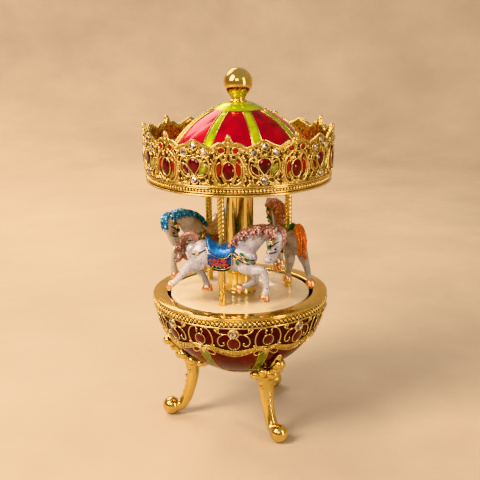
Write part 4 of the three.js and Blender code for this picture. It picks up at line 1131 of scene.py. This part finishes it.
def tail_locks():
    centre = ((-10.6, 0, 91.4), (-11.9, 0, 94.6), (-14.4, 0, 95.6), (-17.2, 0, 93.6),
        (-18.6, 0, 90.0), (-18.0, 0, 86.6), (-18.8, 0, 83.6))
    swell = (0.5, 0.9, 1.2, 1.6, 1.8, 1.5, 0.7)
    roots = [[Vector(c) + Vector((0.8 * w * math.cos(a), w * math.sin(a), 0.4 * w
        * math.cos(a + 0.6))) for c, w in zip(centre, swell)] for a in circle(9)]
    return roots + [((-18.6, -0.8, 90.4), (-20.2, -1.0, 88.6), (-21.3, -0.8, 87.2),
        (-20.9, -0.6, 86.2)), ((-18.2, -0.8, 86.0), (-19.6, -1.2, 83.6), (-21.2, -1.0, 83.4),
        (-21.6, -0.8, 84.6)), ((-17.6, 0.6, 86.0), (-16.6, 0.4, 84.0), (-15.2, 0.2, 83.8))]


def plate_form(b, rows, thick):
    """A curved plate given as rows of points; it gets a back a little inside it."""
    last, count = len(rows) - 1, len(rows[0])
    front = [Vector(p) for row in rows for p in row]
    n = len(front)
    inside = Vector((sum(front, Vector()).x / n, 0, 86))
    back = [p + (inside - p).normalized() * thick for p in front]
    faces = []
    for i in range(last):
        for j in range(count - 1):
            q = (i * count + j, i * count + j + 1, (i + 1) * count + j + 1, (i + 1) * count + j)
            faces += [q, tuple(n + v for v in reversed(q))]
    edge = [*range(count), *((i + 1) * count - 1 for i in range(1, last + 1)), *(last * count + j
        for j in reversed(range(count - 1))), *(i * count for i in range(last - 1, 0, -1))]
    faces += [(c, a, n + a, n + c) for a, c in zip(edge, edge[1:] + edge[:1])]
    b.add(front + back, faces)


BARREL_AXIS, BARREL_HALF_WIDTH, BARREL_HALF_DEPTH, BARREL_SWAY = 85.6, 5.0, 5.8, 0.01


def flank(x, angle, grow):
    """A point on the horse's barrel, by distance along it and angle from the spine."""
    return (x, (BARREL_HALF_WIDTH + grow) * math.sin(angle), BARREL_AXIS + BARREL_SWAY * x * x
        + (BARREL_HALF_DEPTH + grow) * math.cos(angle))


def angle_at(x, z, grow=0.0):
    """The angle from the spine at which the barrel is z high."""
    rise = (z - BARREL_AXIS - BARREL_SWAY * x * x) / (BARREL_HALF_DEPTH + grow)
    return math.acos(max(-0.95, min(0.95, rise)))


def blanket_low(x):
    """Height of the saddle cloth's lower edge."""
    return 81.4 + 2.6 * (abs(x - 0.3) / 5.6) ** 2.2


BLANKET_X = (-4.9, -4.3, -3.2, -2.0, -0.7, 0.6, 2.0, 3.2, 4.5, 5.3, 5.9)
SADDLE_ROWS = ((-6.3, 4.3, 26), (-5.9, 4.2, 36), (-5.0, 2.9, 52), (-3.8, 1.6, 62), (-2.2, 0.9, 71),
    (-0.5, 0.65, 76), (1.4, 0.7, 80), (3.2, 0.9, 80), (4.8, 1.2, 70), (6.2, 1.3, 58),
    (7.2, 0.7, 38))


# The parts of the tack, in one horse's frame.
def blanket(b):
    rows = []
    for x in BLANKET_X:
        reach = angle_at(x, blanket_low(x), 0.3)
        rows.append([flank(x, reach * (i / 9 - 1), 0.35 + 0.08 * math.sin(i * 1.9 + x))
            for i in range(19)])
    plate_form(b, rows, 0.4)


def saddle(b):
    rows = []
    for x, puff, reach in SADDLE_ROWS:
        shares = [i / 8 - 1 for i in range(17)]
        rows.append([flank(x, math.radians(reach) * t, 0.75 + (puff - 0.75)
            * math.cos(math.pi / 2 * t) ** 1.5) for t in shares])
    plate_form(b, rows, 0.9)


def trim(b):
    for x in (BLANKET_X[0], BLANKET_X[-1]):
        reach = angle_at(x, blanket_low(x), 0.3)
        tube(b, smooth_line([flank(x, reach * (i / 6 - 1), 0.45) for i in range(13)], 2), 0.2, X, 6)
    for side in SIDES:
        low = [flank(x, side * angle_at(x, blanket_low(x), 0.3), 0.45) for x in BLANKET_X]
        edge = [flank(x, side * math.radians(reach), 0.95) for x, _, reach in SADDLE_ROWS[1:-1]]
        for line, radius in ((low, 0.2), (edge, 0.13)):
            tube(b, smooth_line(line, 3), radius, Y * side, 6)
        for x in (-2.6, -0.9, 0.8, 2.5):
            ball(b, flank(x, side * angle_at(x, 82.9), 0.5), 0.36, 8, 6)


def girth(b):
    for side in SIDES:
        low = [flank(x, side * angle_at(x, blanket_low(x) - 0.75, 0.2), 0.35)
            for x in BLANKET_X[2:-2]]
        tube(b, smooth_line(low, 3), 0.42, Y * side, 6)
    under = [flank(0.3, math.radians(136 + 88 * i / 10), 0.1) for i in range(11)]
    tube(b, smooth_line(under, 2), 0.45, X, 6)


def flowers(b):
    spots = [(x + 0.8 * (z < 84.5), z) for z in (85.6, 84.0) for x in (-3.4, -1.7, 0.0, 1.7, 3.0)]
    for side in SIDES:
        for n, (x, z) in enumerate(spots):
            centre = Vector(flank(x, side * angle_at(x, z), 0.6))
            for a in circle(5):
                ball(b, centre + Vector((0.5 * math.cos(a + n), 0, 0.5 * math.sin(a + n))), 0.4, 6,
                    4)


def harness(b):
    for side in SIDES:
        for line in ([(27.4, 1.5, 95.4), (25.2, 2.65, 94.4), (22.6, 2.5, 92.4), (21.0, 1.6, 91.2)],
                [(25.3, 1.5, 90.4), (24.0, 2.2, 89.8), (22.0, 2.1, 89.4), (20.6, 1.3, 89.2)],
                [(6.4, 4.6, 90.0), (9.8, 5.2, 88.0), (12.6, 4.2, 86.6), (14.8, 2.2, 85.8),
                (15.5, 0, 85.6)], [(6.4, 5.0, 88.4), (9.6, 5.5, 86.2), (12.4, 4.6, 84.8),
                (14.4, 2.4, 84.0), (15.0, 0, 83.8)], [(-5.8, 4.6, 90.0), (-9.6, 5.4, 88.2),
                (-12.6, 4.2, 87.8), (-14.8, 1.2, 88.4)], [(24.6, 2.3, 98.2), (23.2, 2.7, 96.2),
                (22.4, 2.6, 93.4), (22.0, 2.2, 91.2)]):
            tube(b, smooth_line([(x, side * y, z) for x, y, z in line], 5), 0.22, Y * side, 6)


def ornaments(b):
    for side in SIDES:
        for x, y, z, size in ((22.9, 2.5, 94.4, 0.95), (21.6, 2.0, 89.4, 0.5),
                (9.0, 5.3, 87.6, 0.85), (11.6, 4.8, 85.3, 0.7), (-9.6, 5.5, 88.2, 0.6),
                (24.4, 2.5, 97.4, 0.7), (10.9, 4.9, 87.5, 0.6), (7.2, 4.9, 86.6, 0.6)):
            ball(b, (x, side * y, z), size, 9, 6, (1, 0.6, 1))
            for a in circle(5):
                ball(b, (x + size * math.cos(a), side * (y - 0.05), z + size * math.sin(a)), size
                    * 0.45, 6, 4)


def leaves(b):
    for side in SIDES:
        for x, y, z, tilt in ((10.4, 5.1, 89.0, 60), (8.3, 5.4, 85.2, 20), (21.6, 2.4, 92.0, 40),
                (12.8, 4.3, 86.2, 100), (23.9, 2.5, 95.9, -20)):
            stone(b, (Vector((x, side * y, z)), X, Z, Y * side), leaf(1.2, 0.6, tilt, 14), 0.35,
                sink=0.4)


def eyes(b):
    for side in SIDES:
        ball(b, (24.6, side * 2.35, 91.4), 0.5, 10, 8)
        ball(b, (22.4, side * 1.9, 86.6), 0.3, 6, 4)


def mane(b, locks):
    strands(b, mane_locks(locks), 3, 0.7)
    crest_curls(b)


def tail(b):
    strands(b, tail_locks(), 5, 0.85)


COATS = {"front": dict(locks=1.0, coat=((0.55, 0.53, 0.57), (0.29, 0.255, 0.28),
    (0.17, 0.12, 0.13)), mane=((0.36, 0.16, 0.13), (0.14, 0.05, 0.045), (0.75, 0.50, 0.42)),
    tail=((0.38, 0.18, 0.14), (0.16, 0.06, 0.05), (0.66, 0.44, 0.36)), cloth=((0.01, 0.09, 0.30),
    (0.003, 0.025, 0.14), (0.1, 0.36, 0.52)), seat=((0.004, 0.13, 0.38), (0.002, 0.035, 0.17),
    (0.03, 0.34, 0.52))), "right": dict(locks=0.55, coat=((0.46, 0.42, 0.38), (0.26, 0.20, 0.17),
    (0.18, 0.12, 0.10)), mane=((0.50, 0.17, 0.11), (0.24, 0.07, 0.045), (0.85, 0.48, 0.36)),
    tail=((0.76, 0.17, 0.015), (0.45, 0.07, 0.006), (0.95, 0.42, 0.12)), cloth=((0.40, 0.02, 0.02),
    (0.16, 0.01, 0.01), (0.8, 0.3, 0.2)), seat=((0.10, 0.22, 0.05), (0.03, 0.09, 0.02),
    (0.4, 0.5, 0.2))), "left": dict(locks=0.5, coat=((0.56, 0.51, 0.46), (0.33, 0.26, 0.21),
    (0.42, 0.14, 0.09)), mane=((0.015, 0.20, 0.42), (0.004, 0.06, 0.18), (0.25, 0.62, 0.80)),
    tail=((0.015, 0.18, 0.44), (0.004, 0.05, 0.18), (0.25, 0.6, 0.8)), cloth=((0.04, 0.20, 0.07),
    (0.01, 0.07, 0.03), (0.4, 0.6, 0.4)), seat=((0.60, 0.47, 0.32), (0.36, 0.25, 0.15),
    (0.80, 0.64, 0.42)))}
FLECKS = {"coat": 0.055, "mane": 0.22, "tail": 0.12, "cloth": 0.08, "seat": 0.14}


def horses():
    casting = horse_body()
    facing = 96  # degrees from the pole's azimuth, so that each horse runs round the column
    for name, look in COATS.items():
        turn = Matrix.Rotation(math.radians(POLE_AZIMUTHS[name] + facing), 4, "Z")
        place = Matrix.Translation(pole_centre(name) * MM) @ turn
        slot = "horse_" + name
        paint = {part: glitter_paint(f"{part}_{name}", *look[part], fleck_share=share,
            rough=(0.18, 0.5), metallic=0.08 if part == "coat" else 0.3, cell=1700 if part == "mane"
            else 2200) for part, share in FLECKS.items()}
        body = casting.copy()
        body.transform(place)
        show("horse_body_" + name, body, paint["coat"], "carousel", ("horse_" + name,))
        for build, material in ((hooves, HOOF), (mane, paint["mane"]), (tail, paint["tail"]),
                (blanket, paint["cloth"]), (saddle, paint["seat"]), (trim, GOLD_WIRE),
                (girth, BLACK), (flowers, FLOWER), (harness, BLACK), (ornaments, GOLD_PALE),
                (leaves, LEAF), (eyes, BLACK)):
            b = Builder()
            build(b, *([look["locks"]] if build is mane else []))
            b.piece(f"horse_{build.__name__}_{name}", material, "carousel", slot,
                smooth=build is not leaves, place=place)
    bpy.data.meshes.remove(casting)


horses()


# ---------------------------------------------------------------- key and movement
def key():
    b = Builder()
    outline = smooth_line([(2.2, 28.2), (4.1, 29.8), (7.1, 30.9), (9.7, 29.8), (10.4, 26.7),
        (9.6, 23.6), (7.0, 22.5), (4.3, 23.4), (2.2, 25.4)], 5, closed=True)
    across, high = 6.7, 26.7  # middle of the hole in each wing
    for side in SIDES:
        middle = Vector((side * across, 0, high))
        outer = [Vector((side * p[0], 0, p[1])) for p in outline]

        def lean(p):
            return math.atan2(p.z - high, side * p.x - across)

        start = min(range(len(outer)), key=lambda i: lean(outer[i]))
        outer = outer[start:] + outer[:start]
        turn = sum((q.z - high) * (side * p.x - across) - (side * q.x - across) * (p.z - high)
            for p, q in zip([outer[-1]] + outer, outer))
        if turn < 0:
            outer.reverse()
        hole = [Vector((side * (across + 2.0 * math.cos(lean(p))), 0, high + 1.9
            * math.sin(lean(p)))) for p in outer]
        half = [(outer, 1.0, 0.45), (outer, 0.96, 0.8), (outer, 0.90, 0.9), (hole, 1.12, 0.9),
            (hole, 1.0, 0.6)]
        loft(b, [[middle + (p - middle) * share + Y * (face * thick) for p in edge] for face,
            rows in ((-1, half), (1, half[::-1])) for edge, share, thick in rows], True)
    lathe(b, [(0.01, 24.1), (1.6, 24.1), (2.6, 24.5), (3.0, 25.2), (3.0, 30.2), (2.8, 30.5),
        (2.8, 31.0), (3.0, 31.3), (2.8, 31.6), (2.05, 31.6), (2.05, 25.3), (0.01, 25.3)], 40)
    b.piece("key_butterfly", GOLD, "winding_set", "gold", ("winding_key",))
    turned("key_well_turned", [(2.12, 32.4), (11.3, 32.4), (11.7, 32.0), (11.7, 27.4), (11.9, 27.0),
        (13.1, 26.9), (13.45, 27.15), (13.45, 27.5), (13.2, 27.74), (12.88, 27.8), (12.88, 33.6),
        (2.12, 33.6)], GOLD, "base", "movement_brass", ("key_well",))
    turned("arbor_turned", [(0.01, 25.35), (1.99, 25.35), (1.99, 45.4), (1.8, 45.6), (0.01, 45.6)],
        STEEL, "winding_set", "steel", ("winding_arbor",), segments=32)


key()
FINISH = {BRASS: ("spring_barrel", "crown_wheel", "turntable_hub", "pinned_drum", "drum_gear",
    "governor_pinion", "governor_wheel", "governor_fan", "bridge_pillar_front",
    "bridge_pillar_back", "pole_nut_front", "pole_nut_right", "pole_nut_left"),
    NICKEL: ("movement_bedplate", "movement_bridge", "comb_riser", "drum_bearing_inner",
    "drum_bearing_outer", "governor_bracket"), BLUED: ("mainspring",)}
chosen = {node: material for material, nodes in FINISH.items() for node in nodes}
for node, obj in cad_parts.items():
    material = chosen.get(node, STEEL)
    if obj.material_slots:
        for slot in obj.material_slots:
            slot.material = material
    else:
        obj.data.materials.append(material)
